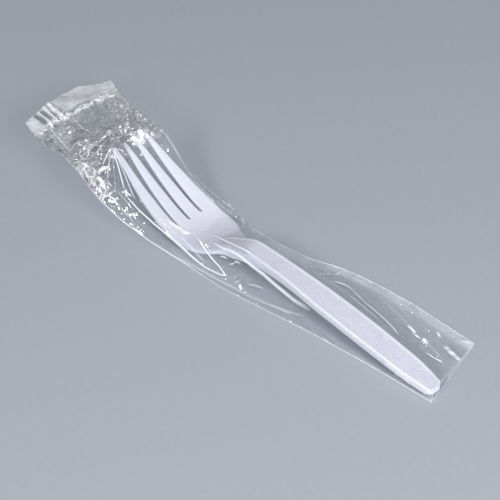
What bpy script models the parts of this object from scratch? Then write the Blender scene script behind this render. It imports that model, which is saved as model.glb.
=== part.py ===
"""A plastic fork lying face up in its own clear film wrapper.

Two pieces: the fork, moulded in one shot with tapered tines, a dished bowl, an S-shaped
side view and a channel handle, and the wrapper, a flat tube of thin film drawn over the
fork, fused across its tine end and cut straight across its handle end.

Lengths are in millimetres, along the fork from its handle end and up from the surface
that the film's flat underside lies on. The finished pack is centred on the origin, with
+X towards the tines and +Z up.
"""

import bmesh
import bpy
import numpy as np
from mathutils import Matrix, Vector

MM = 0.001

# Fork
FORK_LENGTH = 155.0
BOWL_WALL = 1.7
HANDLE_WALL = 1.3
TIP_WALL = 1.2
RIM_HEIGHT = 0.24
RIM_INSET = 0.5
TONGUE_STEP = 0.35
SKIRT_FLARE = 0.2
END_WALL = 1.1
END_BOW = 1.5
END_BOW_REACH = 10.0
SLOT_ROOT = 122.0
SLOT_ROOT_RADIUS = 0.5
TINE_CROWN = 0.15
NECK_START = 80.0
NECK_END = 112.0
NECK_BLEND = 8.0
TINE_BLEND = 8.0
TIP_TAPER = 0.55
TIP_ROUNDING = 0.25

# Stations along the fork: distance from the handle end, then the size there
CROWN_LINE = ((0, 3.4), (25, 6.6), (50, 9.3), (75, 11.3), (88, 11.5), (98, 8.6),
              (107, 4.3), (115, 2.8), (124, 4.9), (138, 11.8), (155, 23.4))
EDGE_DROP = ((80, 0.12), (85, 0.5), (90, 1.5), (94, 1.95), (98, 1.5), (103, 0.6), (108, -0.5),
             (114, -1.1), (118, -1.3), (138, -0.7), (155, -0.3))
SKIRT_DEPTH = ((0, 2.1), (50, 2.2), (65, 2.5), (78, 3.0), (88, 3.4), (94, 2.7), (100, 1.8), (112, 1.5))
TONGUE_HALF_WIDTH = ((0, 3.2), (3, 3.7), (15, 4.7), (35, 5.0), (50, 4.9), (70, 4.1), (82, 3.9),
                     (88, 3.75), (92, 3.3), (96, 2.5), (100, 1.6), (105, 0.6), (110, 0.3), (116, 0.0))
HEAD_HALF_WIDTH = ((80, 4.08), (88, 4.3), (93, 4.7), (97, 5.3), (100, 6.4), (103, 7.9), (107, 10.0),
                   (111, 11.4), (116, 12.1), (122, 12.0), (135, 11.2), (145, 9.8), (155, 8.05))
TINE_PITCH = ((122, 5.95), (135, 5.75), (145, 5.4), (155, 4.96))
SLOT_HALF_WIDTH = ((122.5, 0.5), (135, 0.75), (142, 1.0), (149, 1.35), (155, 1.85))

# Film wrapper
FILM_WALL = 0.15
FORK_MARGIN = 0.9
SHEET_GAP = 0.5
EDGE_INSET = 0.65
FLAT_SHARE = 0.7
SEAL_BAND = 9.0
SEAL_BULGE = 4.5
SEAL_ARCH = 1.6
HANDLE_END_LEFT = -1.9
HANDLE_END_RIGHT = 7.0
TINE_END_LEFT = 199.0
TINE_END_RIGHT = 197.0
SIDE_COLUMNS = 8
FORK_COLUMNS = 8
HUG_REACH = 0.9
FOLD_FADE = 0.22
FLUTE_DEPTH = 0.7
FLUTE_START = 2.0
FLUTE_FULL = 8.0
CRUMPLE_SEED = 7

# Stations along the film: distance from the fork's handle end, then the place there
LEFT_EDGE = ((-2, 4.6), (5, 5.2), (20, 6.3), (40, 8.2), (57, 10.4), (72, 12.8), (90, 15.6), (110, 16.6),
             (125, 18.4), (140, 21.8), (150, 22.8), (165, 20.2), (182, 19.0), (200, 14.8))
RIGHT_EDGE = ((-2, -28.0), (28, -28.0), (47, -27.0), (66, -23.8), (80, -18.8), (100, -16.2), (118, -15.6),
              (134, -15.0), (145, -16.8), (157, -19.6), (175, -21.0), (190, -24.4), (200, -27.8))
UNDERSIDE_LINE = ((114, 0.0), (124, 0.7), (132, 3.0), (142, 7.0), (155, 12.4), (168, 14.0), (200, 14.6))
EDGE_RISE = ((-2, 0.5), (60, 0.6), (110, 1.2), (140, 2.6), (155, 3.0), (170, 1.6), (188, 0.5), (200, 0.2))
TOP_LINE = ((-2, 4.1), (25, 7.5), (50, 10.2), (75, 12.2), (88, 12.5), (98, 11.0), (107, 9.0),
            (115, 8.2), (124, 9.8), (138, 15.0), (150, 22.4), (156, 24.6), (162, 22.6), (172, 18.6),
            (182, 16.4), (190, 15.4), (200, 15.0))
SLUMP = ((0, 1.9), (85, 1.7), (110, 1.25), (135, 1.0), (155, 0.9))
HUG = ((0, 0.2), (20, 0.3), (56, 0.5), (75, 0.5), (90, 0.3), (104, 0.1), (112, 0.0))
GATHER = ((112, 0.0), (126, 0.3), (158, 0.3), (176, 0.0))
CRUMPLE = ((146, 0.0), (154, 1.1), (172, 1.1), (182, 0.28))

# Long folds of the top sheet: height, half width, then the places (along, across) they pass
TINE_TIP = (156, 8.4)
FOLDS = (
    (1.1, 1.6, (141, 14.8), (134, 16.2), (128, 15), (123, 13.7), (116.5, 13.4), (107, 11.5), (91.2, 10.6)),
    (0.9, 1.6, (116, 5.2), (110.5, 6.4), (105.8, 7.5), (97.4, 9.0), (91.2, 10.6)),
    (0.8, 1.4, (141, 14.8), (147, 12.6), TINE_TIP),
    (1.0, 1.4, TINE_TIP, (151, 17.8)),
    (1.0, 1.4, TINE_TIP, (146.5, 17.8)),
    (1.0, 1.4, TINE_TIP, (141, 18.8)),
    (1.0, 1.4, TINE_TIP, (134.4, 17.4)),
    (0.9, 1.8, (61, -12.8), (54, -15), (35, -12.5), (28.6, -11.4)),
    (0.9, 1.8, (74, -12), (63, -19.4), (59, -19)),
    (0.9, 2.2, (45, -20), (24, -15.6), (7, -11.5)),
    (0.7, 2.0, (12.4, -18.6), (4.6, -17.2)),
    (0.5, 2.2, (62, -22.5), (8, -25)),
    (0.9, 1.6, (136, -12.5), (96, -9)),
    (0.9, 1.4, (158, -17), (145, -14.6), (132, -13.4), (112, -13.6)),
    (0.7, 1.8, (128, 17.5), (104, 14.5), (80, 12)),
    (0.9, 1.5, (155.4, 18.5), (148.6, 18.4)),
    (0.6, 1.4, (190, 10.8), (181, 13), (170.6, 15.8)),
    (0.6, 1.4, (190, 1.5), (182, 3.8), (175, 3.2)),
    (0.5, 1.4, (188.5, -17), (177.5, -11.5), (173.5, -3)),
)


def through(stations, x):
    """Reads a smooth line, with no overshoot, through (distance, value) stations."""
    knots, values = np.array(stations, float).T
    step = np.diff(knots)
    rise = np.diff(values) / step
    slope = np.zeros(len(knots))
    same_way = rise[:-1] * rise[1:] > 0
    slope[1:-1][same_way] = 2 * rise[:-1][same_way] * rise[1:][same_way] / (rise[:-1] + rise[1:])[same_way]
    slope[0], slope[-1] = rise[0], rise[-1]
    x = np.clip(x, knots[0], knots[-1])
    i = np.clip(np.searchsorted(knots, x, side="right") - 1, 0, len(step) - 1)
    t = (x - knots[i]) / step[i]
    return (
        values[i] * (1 + 2 * t) * (1 - t) ** 2
        + values[i + 1] * t * t * (3 - 2 * t)
        + step[i] * (slope[i] * t * (1 - t) ** 2 - slope[i + 1] * t * t * (1 - t))
    )


def ease(start, end, x):
    """Rises smoothly from 0 at start to 1 at end."""
    t = np.clip((x - start) / (end - start), 0.0, 1.0)
    return t * t * (3 - 2 * t)


def mix(a, b, share):
    return a + (b - a) * share


def plastic(name, colour, roughness, alpha=1.0):
    material = bpy.data.materials.new(name)
    material.use_nodes = True
    shader = material.node_tree.nodes["Principled BSDF"]
    shader.inputs["Base Color"].default_value = (*colour, 1.0)
    shader.inputs["Roughness"].default_value = roughness
    shader.inputs["Metallic"].default_value = 0.0
    shader.inputs["Alpha"].default_value = alpha
    return material


def add_object(name, points, faces, material, smooth_angle):
    """Makes one object from points in millimetres, joins coincident points and faces it outwards."""
    mesh = bpy.data.meshes.new(name)
    shape = bmesh.new()
    corners = [shape.verts.new(point) for point in np.asarray(points, float) * MM]
    for face in faces:
        shape.faces.new([corners[i] for i in face])
    bmesh.ops.remove_doubles(shape, verts=shape.verts, dist=1e-6)
    bmesh.ops.dissolve_degenerate(shape, edges=shape.edges, dist=1e-7)
    bmesh.ops.triangulate(shape, faces=shape.faces, quad_method="SHORT_EDGE")
    bmesh.ops.recalc_face_normals(shape, faces=shape.faces)
    shape.to_mesh(mesh)
    shape.free()
    mesh.shade_smooth()
    mesh.set_sharp_from_angle(angle=np.radians(smooth_angle))
    mesh.materials.append(material)
    made = bpy.data.objects.new(name, mesh)
    bpy.context.collection.objects.link(made)
    return made


def slot_half_width(x):
    """Half the gap between two tines: a round root that opens towards the tips."""
    into = np.clip(x - SLOT_ROOT, 0.0, SLOT_ROOT_RADIUS)
    root = np.sqrt(np.maximum(SLOT_ROOT_RADIUS ** 2 - (SLOT_ROOT_RADIUS - into) ** 2, 0.0))
    return np.where(x < SLOT_ROOT + SLOT_ROOT_RADIUS, root, through(SLOT_HALF_WIDTH, x))


def wall_at(x):
    """The fork's wall: thicker in the bowl than on the handle and at the tips."""
    to_bowl = mix(HANDLE_WALL, BOWL_WALL, ease(NECK_START, NECK_END, x))
    return mix(to_bowl, TIP_WALL, ease(SLOT_ROOT, FORK_LENGTH, x))


def fork_half_width(x):
    """Half the fork's width at x: the handle's, then the head's."""
    return through(TONGUE_HALF_WIDTH if x < NECK_START else HEAD_HALF_WIDTH, x)


def fork_half_section(x):
    """Top and under side points (y, z) of one half of the section at x, from the middle outwards.

    On the handle the seven points run along the flat top, over the rim and down the skirt. At
    the neck the handle's top face narrows to a tongue, and the skirt's middle point becomes the
    head's edge. On the head the points are the edges and middles of the inner and the outer
    tine, and the outer edge.
    """
    crown, wall = through(CROWN_LINE, x), wall_at(x)
    tongue, edge = through(TONGUE_HALF_WIDTH, x), fork_half_width(x)
    drop, depth = through(EDGE_DROP, x), through(SKIRT_DEPTH, x)
    neck = ease(NECK_START, NECK_START + NECK_BLEND, x)
    head = ease(NECK_END - 2.0, SLOT_ROOT - 0.2, x)

    pitch, slot = through(TINE_PITCH, x), slot_half_width(x)
    rim = tongue - min(RIM_INSET, 0.3 * tongue)
    split_in, split_out = mix(rim, pitch - slot, head), mix(rim, pitch + slot, head)
    outer = edge - split_out
    rounding = mix(0.02, 0.08, head) * outer
    y = np.array([slot, split_in * mix(0.86, 0.5, head), split_in, split_out,
                  mix(tongue, split_out + outer / 2, neck),
                  mix(tongue + SKIRT_FLARE / 2, edge, neck),
                  mix(tongue + SKIRT_FLARE, edge + SKIRT_FLARE * (1 - head) - rounding, neck)])

    beside = np.clip((y - tongue) / max(edge - tongue, 0.05), 0.0, 1.0) ** mix(1.15, 2.0, ease(98, 114, x))
    z = crown - drop * beside * neck
    rib = 1 - ease(NECK_END - NECK_BLEND, NECK_END, x)
    z[2:4] += RIM_HEIGHT * rib
    z[4] -= TONGUE_STEP * rib * neck
    z[5] -= depth / 2 * (1 - neck)
    bump = TINE_CROWN * ease(SLOT_ROOT, SLOT_ROOT + TINE_BLEND, x)
    z[[1, 4]] += bump
    z[5] -= bump
    z[6] = mix(crown, z[5], neck) - mix(depth, wall, ease(104, 116, x))
    top = np.stack([y, z], axis=1)

    side_wall = mix(HANDLE_WALL, 0.16 * outer, neck * ease(94, 112, x))
    under = top.copy()
    under[:5, 1] -= wall
    under[4, 0] -= mix(HANDLE_WALL, 0.0, neck)
    under[5, 0] -= side_wall * 1.5
    under[5, 1] = mix(top[5, 1] - 0.3, top[5, 1] - wall, neck)
    under[6, 0] -= side_wall
    return top, under


def fork_rows():
    handle = np.concatenate([[0.2, 1.4, 3.4, 7.0, 12.0], np.arange(20.0, NECK_START - 2.0, 9.0)])
    head = np.arange(NECK_START, SLOT_ROOT - 1.0, 2.4)
    root = SLOT_ROOT + SLOT_ROOT_RADIUS * np.array([0.0, 0.15, 0.5, 1.0])
    tines = np.concatenate([np.arange(SLOT_ROOT + 3.5, FORK_LENGTH - 3.0, 3.3), [FORK_LENGTH - 1.2]])
    return np.concatenate([handle, head, root, tines])


def make_fork():
    """Sweeps the section along the fork, with an end wall at the handle and four blunt tips."""
    top, under = [], []

    def add_row(x, x_under, section, section_under):
        for rows, at, half in ((top, x, section), (under, x_under, section_under)):
            bow = END_BOW * (half[:, 0] / through(TONGUE_HALF_WIDTH, 0.0)) ** 4
            along = at + np.minimum(bow, END_BOW) * max(0.0, 1 - at / END_BOW_REACH)
            right = np.column_stack([along, -half[:, 0], half[:, 1]])[::-1]
            left = np.column_stack([along, half[:, 0], half[:, 1]])
            rows.append(np.vstack([right, left]))

    stations = fork_rows()
    first_top, first_under = fork_half_section(stations[0])
    foot, foot_under = first_top.copy(), first_under.copy()
    foot[:, 1] = first_top[-1, 1]
    foot_under[:, 1] = first_top[-1, 1]
    add_row(0.0, END_WALL, foot, foot_under)
    for x in stations:
        section, section_under = fork_half_section(x)
        add_row(x, x + END_WALL * max(0.0, 1 - x / END_BOW_REACH), section, section_under)
    section, section_under = fork_half_section(FORK_LENGTH)
    middles = np.array([0, 0, 0, 1, 1, 1, 1])
    centre = np.array([section[1, 0], section[4, 0]])[middles]
    for half, lift in ((section, -TIP_ROUNDING), (section_under, TIP_ROUNDING)):
        half[:, 0] = mix(centre, half[:, 0], TIP_TAPER)
        half[:, 1] += lift
    section[6, 1] = section_under[6, 1] = (section[5, 1] + section_under[4, 1]) / 2
    add_row(FORK_LENGTH, FORK_LENGTH, section, section_under)

    top, under = np.array(top), np.array(under)
    rows, columns = top.shape[:2]
    points = np.concatenate([top.reshape(-1, 3), under.reshape(-1, 3)])

    def upper(r, c):
        return r * columns + c

    def lower(r, c):
        return rows * columns + r * columns + c

    slots = {3, 6, 9}
    slot_rows = top[:, 7, 1] > 1e-6
    faces = []
    for r in range(rows - 1):
        for c in range(columns - 1):
            if c in slots:
                if slot_rows[r + 1]:
                    for k in (c, c + 1):
                        faces.append((upper(r, k), upper(r + 1, k), lower(r + 1, k), lower(r, k)))
                continue
            for place in (upper, lower):
                faces.append((place(r, c), place(r + 1, c), place(r + 1, c + 1), place(r, c + 1)))
        for c in (0, columns - 1):
            faces.append((upper(r, c), upper(r + 1, c), lower(r + 1, c), lower(r, c)))
    for c in range(columns - 1):
        if c not in slots:
            faces += [(upper(r, c), upper(r, c + 1), lower(r, c + 1), lower(r, c)) for r in (0, rows - 1)]
    material = plastic("white_plastic", (0.86, 0.86, 0.92), 0.45)
    return add_object("fork", points, faces, material, 38)


def film_rows():
    """Distances of the film's sections, close together where it puckers round the tines."""
    handle = np.concatenate([[HANDLE_END_LEFT, 2.0], np.arange(7.0, 112.0, 5.3)])
    head = np.arange(114.5, 146.0, 3.0)
    tips = np.arange(147.5, TINE_END_LEFT - SEAL_BAND - 1.0, 2.4)
    seal = TINE_END_LEFT - SEAL_BAND * np.array([1.0, 0.66, 0.33, 0.0])
    return np.concatenate([handle, head, tips, seal])


def film_columns(x):
    """Places across the film at x: a panel each side, and the strip that the fork fills."""
    left, right = through(LEFT_EDGE, x), through(RIGHT_EDGE, x)
    fork = fork_half_width(x)
    inner_left = min(fork + FORK_MARGIN, 0.75 * left)
    inner_right = -(fork + FORK_MARGIN)
    return np.concatenate([
        np.linspace(right, inner_right, SIDE_COLUMNS + 1)[:-1],
        np.linspace(inner_right, inner_left, FORK_COLUMNS + 1)[:-1],
        np.linspace(inner_left, left, SIDE_COLUMNS + 1),
    ])


def fold_lift(along, across):
    """How far the long folds lift the film: a ridge with straight flanks that fades at its ends."""
    total = np.zeros(len(across))
    for height, width, *line in FOLDS:
        line = np.array(line, float)
        legs = np.linalg.norm(np.diff(line, axis=0), axis=1)
        passed = np.concatenate([[0.0], np.cumsum(legs)])
        nearest, share = np.full(len(across), np.inf), np.zeros(len(across))
        for start, end, leg, before in zip(line[:-1], line[1:], legs, passed):
            ahead = (end - start) / leg
            t = np.clip((along - start[0]) * ahead[0] + (across - start[1]) * ahead[1], 0.0, leg)
            away = np.hypot(along - start[0] - t * ahead[0], across - start[1] - t * ahead[1])
            share = np.where(away < nearest, (before + t) / passed[-1], share)
            nearest = np.minimum(nearest, away)
        fade = np.clip(np.minimum(share, 1 - share) / FOLD_FADE, 0.0, 1.0)
        total += height * np.clip(1 - nearest / width, 0.0, 1.0) * fade
    return total


def film_section(x, noise):
    """Places along and across at x, and the heights there of the top and the under sheet."""
    y = film_columns(x)
    count = len(y)
    column = np.arange(count)
    across = (y - y[0]) / (y[-1] - y[0])
    along = film_along(x, across)
    fork_strip = (column >= SIDE_COLUMNS) & (column <= SIDE_COLUMNS + FORK_COLUMNS)
    out = np.where(column < SIDE_COLUMNS, SIDE_COLUMNS - column, column - SIDE_COLUMNS - FORK_COLUMNS)
    out = np.where(fork_strip, 0, out) / SIDE_COLUMNS
    inside = (column > 0) & (column < count - 1)

    under_line = through(UNDERSIDE_LINE, x)
    edge_z = under_line + through(EDGE_RISE, x)
    side = np.abs(2 * across - 1)
    under = mix(under_line, edge_z, (np.maximum(0.0, side - FLAT_SHARE) / (1 - FLAT_SHARE)) ** 2)
    top_line = through(TOP_LINE, x)
    beyond = np.maximum(y - y[SIDE_COLUMNS + FORK_COLUMNS], 0.0)
    hug = through(HUG, x) * (1 - np.exp(-beyond / HUG_REACH))
    top = mix(edge_z, top_line, (1 - out) ** through(SLUMP, x) * (1 - hug))
    over_fork = (np.abs(y) < fork_half_width(x) + FORK_MARGIN) & (x < NECK_START)
    top = np.where(over_fork, np.maximum(top, top_line), top)

    ridge = np.where(column % 2 == 0, 1.0, -1.0)
    gather = through(GATHER, x) * ridge * np.sin(np.pi * out)
    crumple = through(CRUMPLE, x) * noise
    lift = fold_lift(along, y) + gather + np.where(fork_strip, 0.4, 1.0) * crumple[0]
    top = top + np.where(inside, lift, 0.0)
    under = under + np.where(inside, crumple[1] / 2, 0.0)
    top = np.maximum(top, under + SHEET_GAP)

    seal_start = TINE_END_LEFT - SEAL_BAND
    if x >= seal_start:
        flute = FLUTE_DEPTH * ease(seal_start - 1, seal_start + 3, x) * ease(FLUTE_START, FLUTE_FULL, y)
        middle = (under_line + top_line) / 2 + SEAL_ARCH * (1 - side ** 2)
        middle = middle + np.where(inside, flute * ridge, 0.0)
        top = middle + FILM_WALL
        under = middle - FILM_WALL
    top[[0, -1]] = under[[0, -1]] = (top[[0, -1]] + under[[0, -1]]) / 2
    return along, y, top, under


def film_along(x, across):
    """Slants the cut at the handle end and bows the trimmed edge of the seal."""
    handle_cut = mix(HANDLE_END_RIGHT, HANDLE_END_LEFT, across) - HANDLE_END_LEFT
    bulge = SEAL_BULGE * 4 * across * (1 - across)
    seal_cut = mix(TINE_END_RIGHT, TINE_END_LEFT, across) - TINE_END_LEFT + bulge
    return x + handle_cut * (1 - ease(HANDLE_END_LEFT, 45.0, x)) + seal_cut * ease(150.0, TINE_END_LEFT, x)


def make_wrapper():
    """Lofts the film tube round the fork: an outer and an inner skin, joined at the open handle end."""
    random = np.random.default_rng(CRUMPLE_SEED)
    stations = film_rows()
    columns = 2 * SIDE_COLUMNS + FORK_COLUMNS + 1
    hollow_rows = int(np.argmax(stations >= TINE_END_LEFT - SEAL_BAND)) + 1
    skins = {"top": [], "under": [], "inner_top": [], "inner_under": []}
    for x in stations:
        along, y, top, under = film_section(x, random.uniform(-1, 1, (2, columns)))
        inner_top, inner_under = top - FILM_WALL, under + FILM_WALL
        inner_y, inner_x = y.copy(), along.copy()
        for edge, neighbour in ((0, 1), (-1, -2)):
            inner_y[edge] = mix(y[edge], y[neighbour], EDGE_INSET)
            inner_x[edge] = mix(along[edge], along[neighbour], EDGE_INSET)
            middle = mix(top[edge], (top[neighbour] + under[neighbour]) / 2, EDGE_INSET)
            inner_top[edge] = inner_under[edge] = middle
        skins["top"].append(np.column_stack([along, y, top]))
        skins["under"].append(np.column_stack([along, y, under]))
        skins["inner_top"].append(np.column_stack([inner_x, inner_y, inner_top]))
        skins["inner_under"].append(np.column_stack([inner_x, inner_y, inner_under]))

    points = np.concatenate([np.array(rows).reshape(-1, 3) for rows in skins.values()])
    start = {name: i * len(stations) * columns for i, name in enumerate(skins)}

    def at(skin, r, c):
        return start[skin] + r * columns + c

    faces = []
    last = len(stations) - 1
    for skin in skins:
        rows = hollow_rows if skin.startswith("inner") else len(stations)
        for r in range(rows - 1):
            for c in range(columns - 1):
                corners = (r, c), (r + 1, c), (r + 1, c + 1), (r, c + 1)
                faces.append([at(skin, *corner) for corner in corners])
    for c in range(columns - 1):
        for one, other, row in (("top", "under", last), ("top", "inner_top", 0), ("under", "inner_under", 0)):
            faces.append((at(one, row, c), at(one, row, c + 1), at(other, row, c + 1), at(other, row, c)))
    material = plastic("clear_film", (0.93, 0.94, 0.96), 0.12, alpha=0.25)
    return add_object("wrapper", points, faces, material, 20)


def centre_on_origin(pieces):
    """Moves the whole pack so that the origin is below the middle of its box."""
    points = np.array([corner.co for piece in pieces for corner in piece.data.vertices])
    low, high = points.min(axis=0), points.max(axis=0)
    shift = Vector(-(low + high) / 2)
    shift.z = 0.0
    for piece in pieces:
        piece.data.transform(Matrix.Translation(shift))


def main():
    for old in list(bpy.data.objects):
        bpy.data.objects.remove(old, do_unlink=True)
    centre_on_origin([make_fork(), make_wrapper()])


if __name__ == "__main__":
    main()
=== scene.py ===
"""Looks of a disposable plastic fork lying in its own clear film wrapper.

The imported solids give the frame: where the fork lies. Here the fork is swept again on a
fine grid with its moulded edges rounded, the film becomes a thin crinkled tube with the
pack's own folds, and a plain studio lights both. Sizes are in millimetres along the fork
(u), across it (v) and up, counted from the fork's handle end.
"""

import logging
import math
from dataclasses import dataclass, field
from enum import Enum

import bmesh
import bpy
import numpy as np
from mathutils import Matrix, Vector

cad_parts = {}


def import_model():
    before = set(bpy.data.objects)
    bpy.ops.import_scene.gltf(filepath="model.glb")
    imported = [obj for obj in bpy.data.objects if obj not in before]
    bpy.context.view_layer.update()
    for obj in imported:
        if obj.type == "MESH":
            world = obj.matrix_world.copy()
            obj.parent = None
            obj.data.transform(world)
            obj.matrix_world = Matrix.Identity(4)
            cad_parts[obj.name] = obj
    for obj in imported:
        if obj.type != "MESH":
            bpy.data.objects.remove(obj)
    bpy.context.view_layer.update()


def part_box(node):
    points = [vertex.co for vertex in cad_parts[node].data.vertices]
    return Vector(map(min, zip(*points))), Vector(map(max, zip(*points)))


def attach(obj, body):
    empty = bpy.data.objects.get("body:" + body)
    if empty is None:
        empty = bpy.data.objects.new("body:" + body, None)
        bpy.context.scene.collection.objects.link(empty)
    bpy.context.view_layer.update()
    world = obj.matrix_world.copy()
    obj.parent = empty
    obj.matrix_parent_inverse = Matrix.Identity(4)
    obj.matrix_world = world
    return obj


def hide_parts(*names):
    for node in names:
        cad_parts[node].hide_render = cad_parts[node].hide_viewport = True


MM = 0.001
IMAGE_SIDE = 500.0
SENSOR_WIDTH = 36.0

Array = np.ndarray
Pair = tuple[float, float]
Colour = tuple[float, float, float]
Stations = tuple[Pair, ...]
Socket = bpy.types.NodeSocket

log = logging.getLogger("wrapped_fork")


def mix(a: Array | float, b: Array | float, share: Array | float) -> Array | float:
    """Returns the value a given share of the way from a to b."""
    return a + (b - a) * share


def ease(start: float, end: float, x: Array | float) -> Array | float:
    """Rises from 0 at start to 1 at end along the cubic 3t^2 - 2t^3.

    Args:
        start: Where the rise begins.
        end: Where the rise ends.
        x: Places to read.

    Returns:
        Values from 0 to 1, one for each place.
    """
    t = np.clip((x - start) / (end - start), 0.0, 1.0)
    return t * t * (3 - 2 * t)


def bell(x: Array, width: float) -> Array:
    """Returns 1 at x = 0, falling on both sides as e to the minus (x / width) squared."""
    return np.exp(-((x / width) ** 2))


def through(stations: Stations, x: Array | float) -> Array:
    """Reads a smooth line through stations, which never overshoots them.

    It is a cubic between two stations. Its slope at one is the harmonic mean of the slopes
    on both sides, or 0 where they point opposite ways.

    Args:
        stations: Pairs of a distance and the value there.
        x: Distances to read.

    Returns:
        The values at those distances.
    """
    knots, values = np.array(stations, float).T
    step = np.diff(knots)
    rise = np.diff(values) / step
    slope = np.zeros(len(knots))
    before, after = rise[:-1], rise[1:]
    same_way = before * after > 0
    slope[1:-1][same_way] = 2 * before[same_way] * after[same_way] / (before + after)[same_way]
    slope[0], slope[-1] = rise[0], rise[-1]
    x = np.clip(np.asarray(x, float), knots[0], knots[-1])
    i = np.clip(np.searchsorted(knots, x, side="right") - 1, 0, len(step) - 1)
    t = (x - knots[i]) / step[i]
    level = values[i] * (1 + 2 * t) * (1 - t) ** 2 + values[i + 1] * t * t * (3 - 2 * t)
    return level + step[i] * (slope[i] * t * (1 - t) ** 2 - slope[i + 1] * t * t * (1 - t))


@dataclass(frozen=True)
class PackFrame:
    """Places the fork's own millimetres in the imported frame.

    Attributes:
        handle_end: The fork's handle end along X, in metres.
        middle: The fork's middle line along Y, in metres.
    """

    handle_end: float
    middle: float

    @classmethod
    def from_fork_box(cls) -> "PackFrame":
        """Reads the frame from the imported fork's box."""
        low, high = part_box("fork")
        return cls(handle_end=low[0], middle=(low[1] + high[1]) / 2)

    def place(self, points: Array) -> Array:
        """Turns rows of along, across and up in millimetres into rows of X, Y and Z in metres."""
        return np.asarray(points, float) * MM + np.array([self.handle_end, self.middle, 0.0])


def grid_quads(rows: int, columns: int, wrap: bool = False) -> Array:
    """Lists the quads of a grid of points numbered row by row.

    Args:
        rows: Number of rows.
        columns: Number of points in a row.
        wrap: True joins each row's last point to its first.

    Returns:
        Rows of four point numbers, wound so that up is outwards when rows run along +X
        and columns run along +Y.
    """
    r = np.arange(rows - 1)[:, None]
    c = np.arange(columns if wrap else columns - 1)[None, :]
    after = (c + 1) % columns
    corners = (r * columns + c, (r + 1) * columns + c, (r + 1) * columns + after, r * columns + after)
    shape = np.broadcast_shapes(r.shape, c.shape)
    return np.stack([np.broadcast_to(corner, shape) for corner in corners], -1).reshape(-1, 4)


def mesh_object(name: str, points: Array, faces: Array, merge: float = 0.0) -> bpy.types.Object:
    """Makes an object at the origin from points in metres.

    Args:
        name: The object's name.
        points: Rows of X, Y and Z.
        faces: Rows of point numbers.
        merge: Points closer than this, in metres, become one, and the faces then turn outwards.

    Returns:
        The linked object, shaded smooth.
    """
    mesh = bpy.data.meshes.new(name)
    mesh.from_pydata(points.tolist(), [], faces.tolist())
    if merge:
        shape = bmesh.new()
        shape.from_mesh(mesh)
        bmesh.ops.remove_doubles(shape, verts=shape.verts, dist=merge)
        bmesh.ops.dissolve_degenerate(shape, edges=shape.edges, dist=merge)
        bmesh.ops.recalc_face_normals(shape, faces=shape.faces)
        shape.to_mesh(mesh)
        shape.free()
    mesh.validate()
    mesh.shade_smooth()
    made = bpy.data.objects.new(name, mesh)
    bpy.context.collection.objects.link(made)
    return made


def point_values(obj: bpy.types.Object, name: str, values: Array) -> None:
    """Stores one number for each point of a mesh, for its material to read."""
    layer = obj.data.attributes.new(name, "FLOAT", "POINT")
    layer.data.foreach_set("value", np.asarray(values, np.float32).ravel())


class NodeSheet:
    """Adds and joins the nodes of one material, world or node group."""

    def __init__(self, tree: bpy.types.NodeTree) -> None:
        """Takes the tree to fill."""
        self.tree = tree

    def add(self, kind: str, inputs: dict | None = None, **settings: object) -> bpy.types.Node:
        """Adds a node.

        Args:
            kind: The node's type name.
            inputs: Values or sockets for its inputs, by name or number.
            **settings: Properties of the node.

        Returns:
            The node.
        """
        node = self.tree.nodes.new(kind)
        for name, value in settings.items():
            setattr(node, name, value)
        for name, value in (inputs or {}).items():
            self.feed(node.inputs[name], value)
        return node

    def feed(self, socket: Socket, value: object) -> None:
        """Links a socket into an input, or sets the input to a plain value."""
        if isinstance(value, Socket):
            self.tree.links.new(value, socket)
        else:
            socket.default_value = value

    def place(self) -> Socket:
        """Returns the Object coordinates of the surface."""
        return self.add("ShaderNodeTexCoord").outputs["Object"]

    def stored(self, name: str) -> Socket:
        """Reads a number that is stored on the mesh's points."""
        return self.add("ShaderNodeAttribute", attribute_name=name).outputs["Fac"]

    def math(self, operation: str, a: object, b: object, clamp: bool = False) -> Socket:
        """Adds a Math node and returns its result."""
        return self.add("ShaderNodeMath", {0: a, 1: b}, operation=operation, use_clamp=clamp).outputs[0]

    def times(self, a: object, b: object, clamp: bool = False) -> Socket:
        """Multiplies two values."""
        return self.math("MULTIPLY", a, b, clamp)

    def most(self, first: object, *others: object) -> Socket:
        """Returns the greatest of several values."""
        for other in others:
            first = self.math("MAXIMUM", first, other)
        return first

    def remap(self, value: object, low: float, high: float, to_low: float, to_high: float) -> Socket:
        """Maps a range of values onto another, clamped, and returns the result."""
        keys = ("Value", "From Min", "From Max", "To Min", "To Max")
        settings = dict(zip(keys, (value, low, high, to_low, to_high)))
        return self.add("ShaderNodeMapRange", settings).outputs[0]

    def noise(self, place: Socket, scale: object, detail: float) -> Socket:
        """Adds a Noise Texture and returns its factor."""
        node = self.add("ShaderNodeTexNoise", {"Vector": place, "Scale": scale, "Detail": detail})
        return node.outputs["Fac"]

    def cells(self, place: Socket, scale: float, feature: str = "F1") -> bpy.types.Node:
        """Adds a Voronoi Texture."""
        return self.add("ShaderNodeTexVoronoi", {"Vector": place, "Scale": scale}, feature=feature)

    def chance(self, cells: bpy.types.Node, channel: str) -> Socket:
        """Returns a random number for each cell of a Voronoi Texture."""
        return self.add("ShaderNodeSeparateColor", {"Color": cells.outputs["Color"]}).outputs[channel]

    def blend(self, share: object, a: Socket | Colour, b: Colour) -> Socket:
        """Mixes a colour with a plain one and returns the result."""
        colour = a if isinstance(a, Socket) else (*a, 1.0)
        node = self.add("ShaderNodeMix", {"Factor": share, "A": colour, "B": (*b, 1.0)}, data_type="RGBA")
        return node.outputs["Result"]

    def shader_mix(self, share: object, a: bpy.types.Node, b: bpy.types.Node) -> bpy.types.Node:
        """Mixes two shaders."""
        return self.add("ShaderNodeMixShader", {0: share, 1: a.outputs[0], 2: b.outputs[0]})


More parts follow.
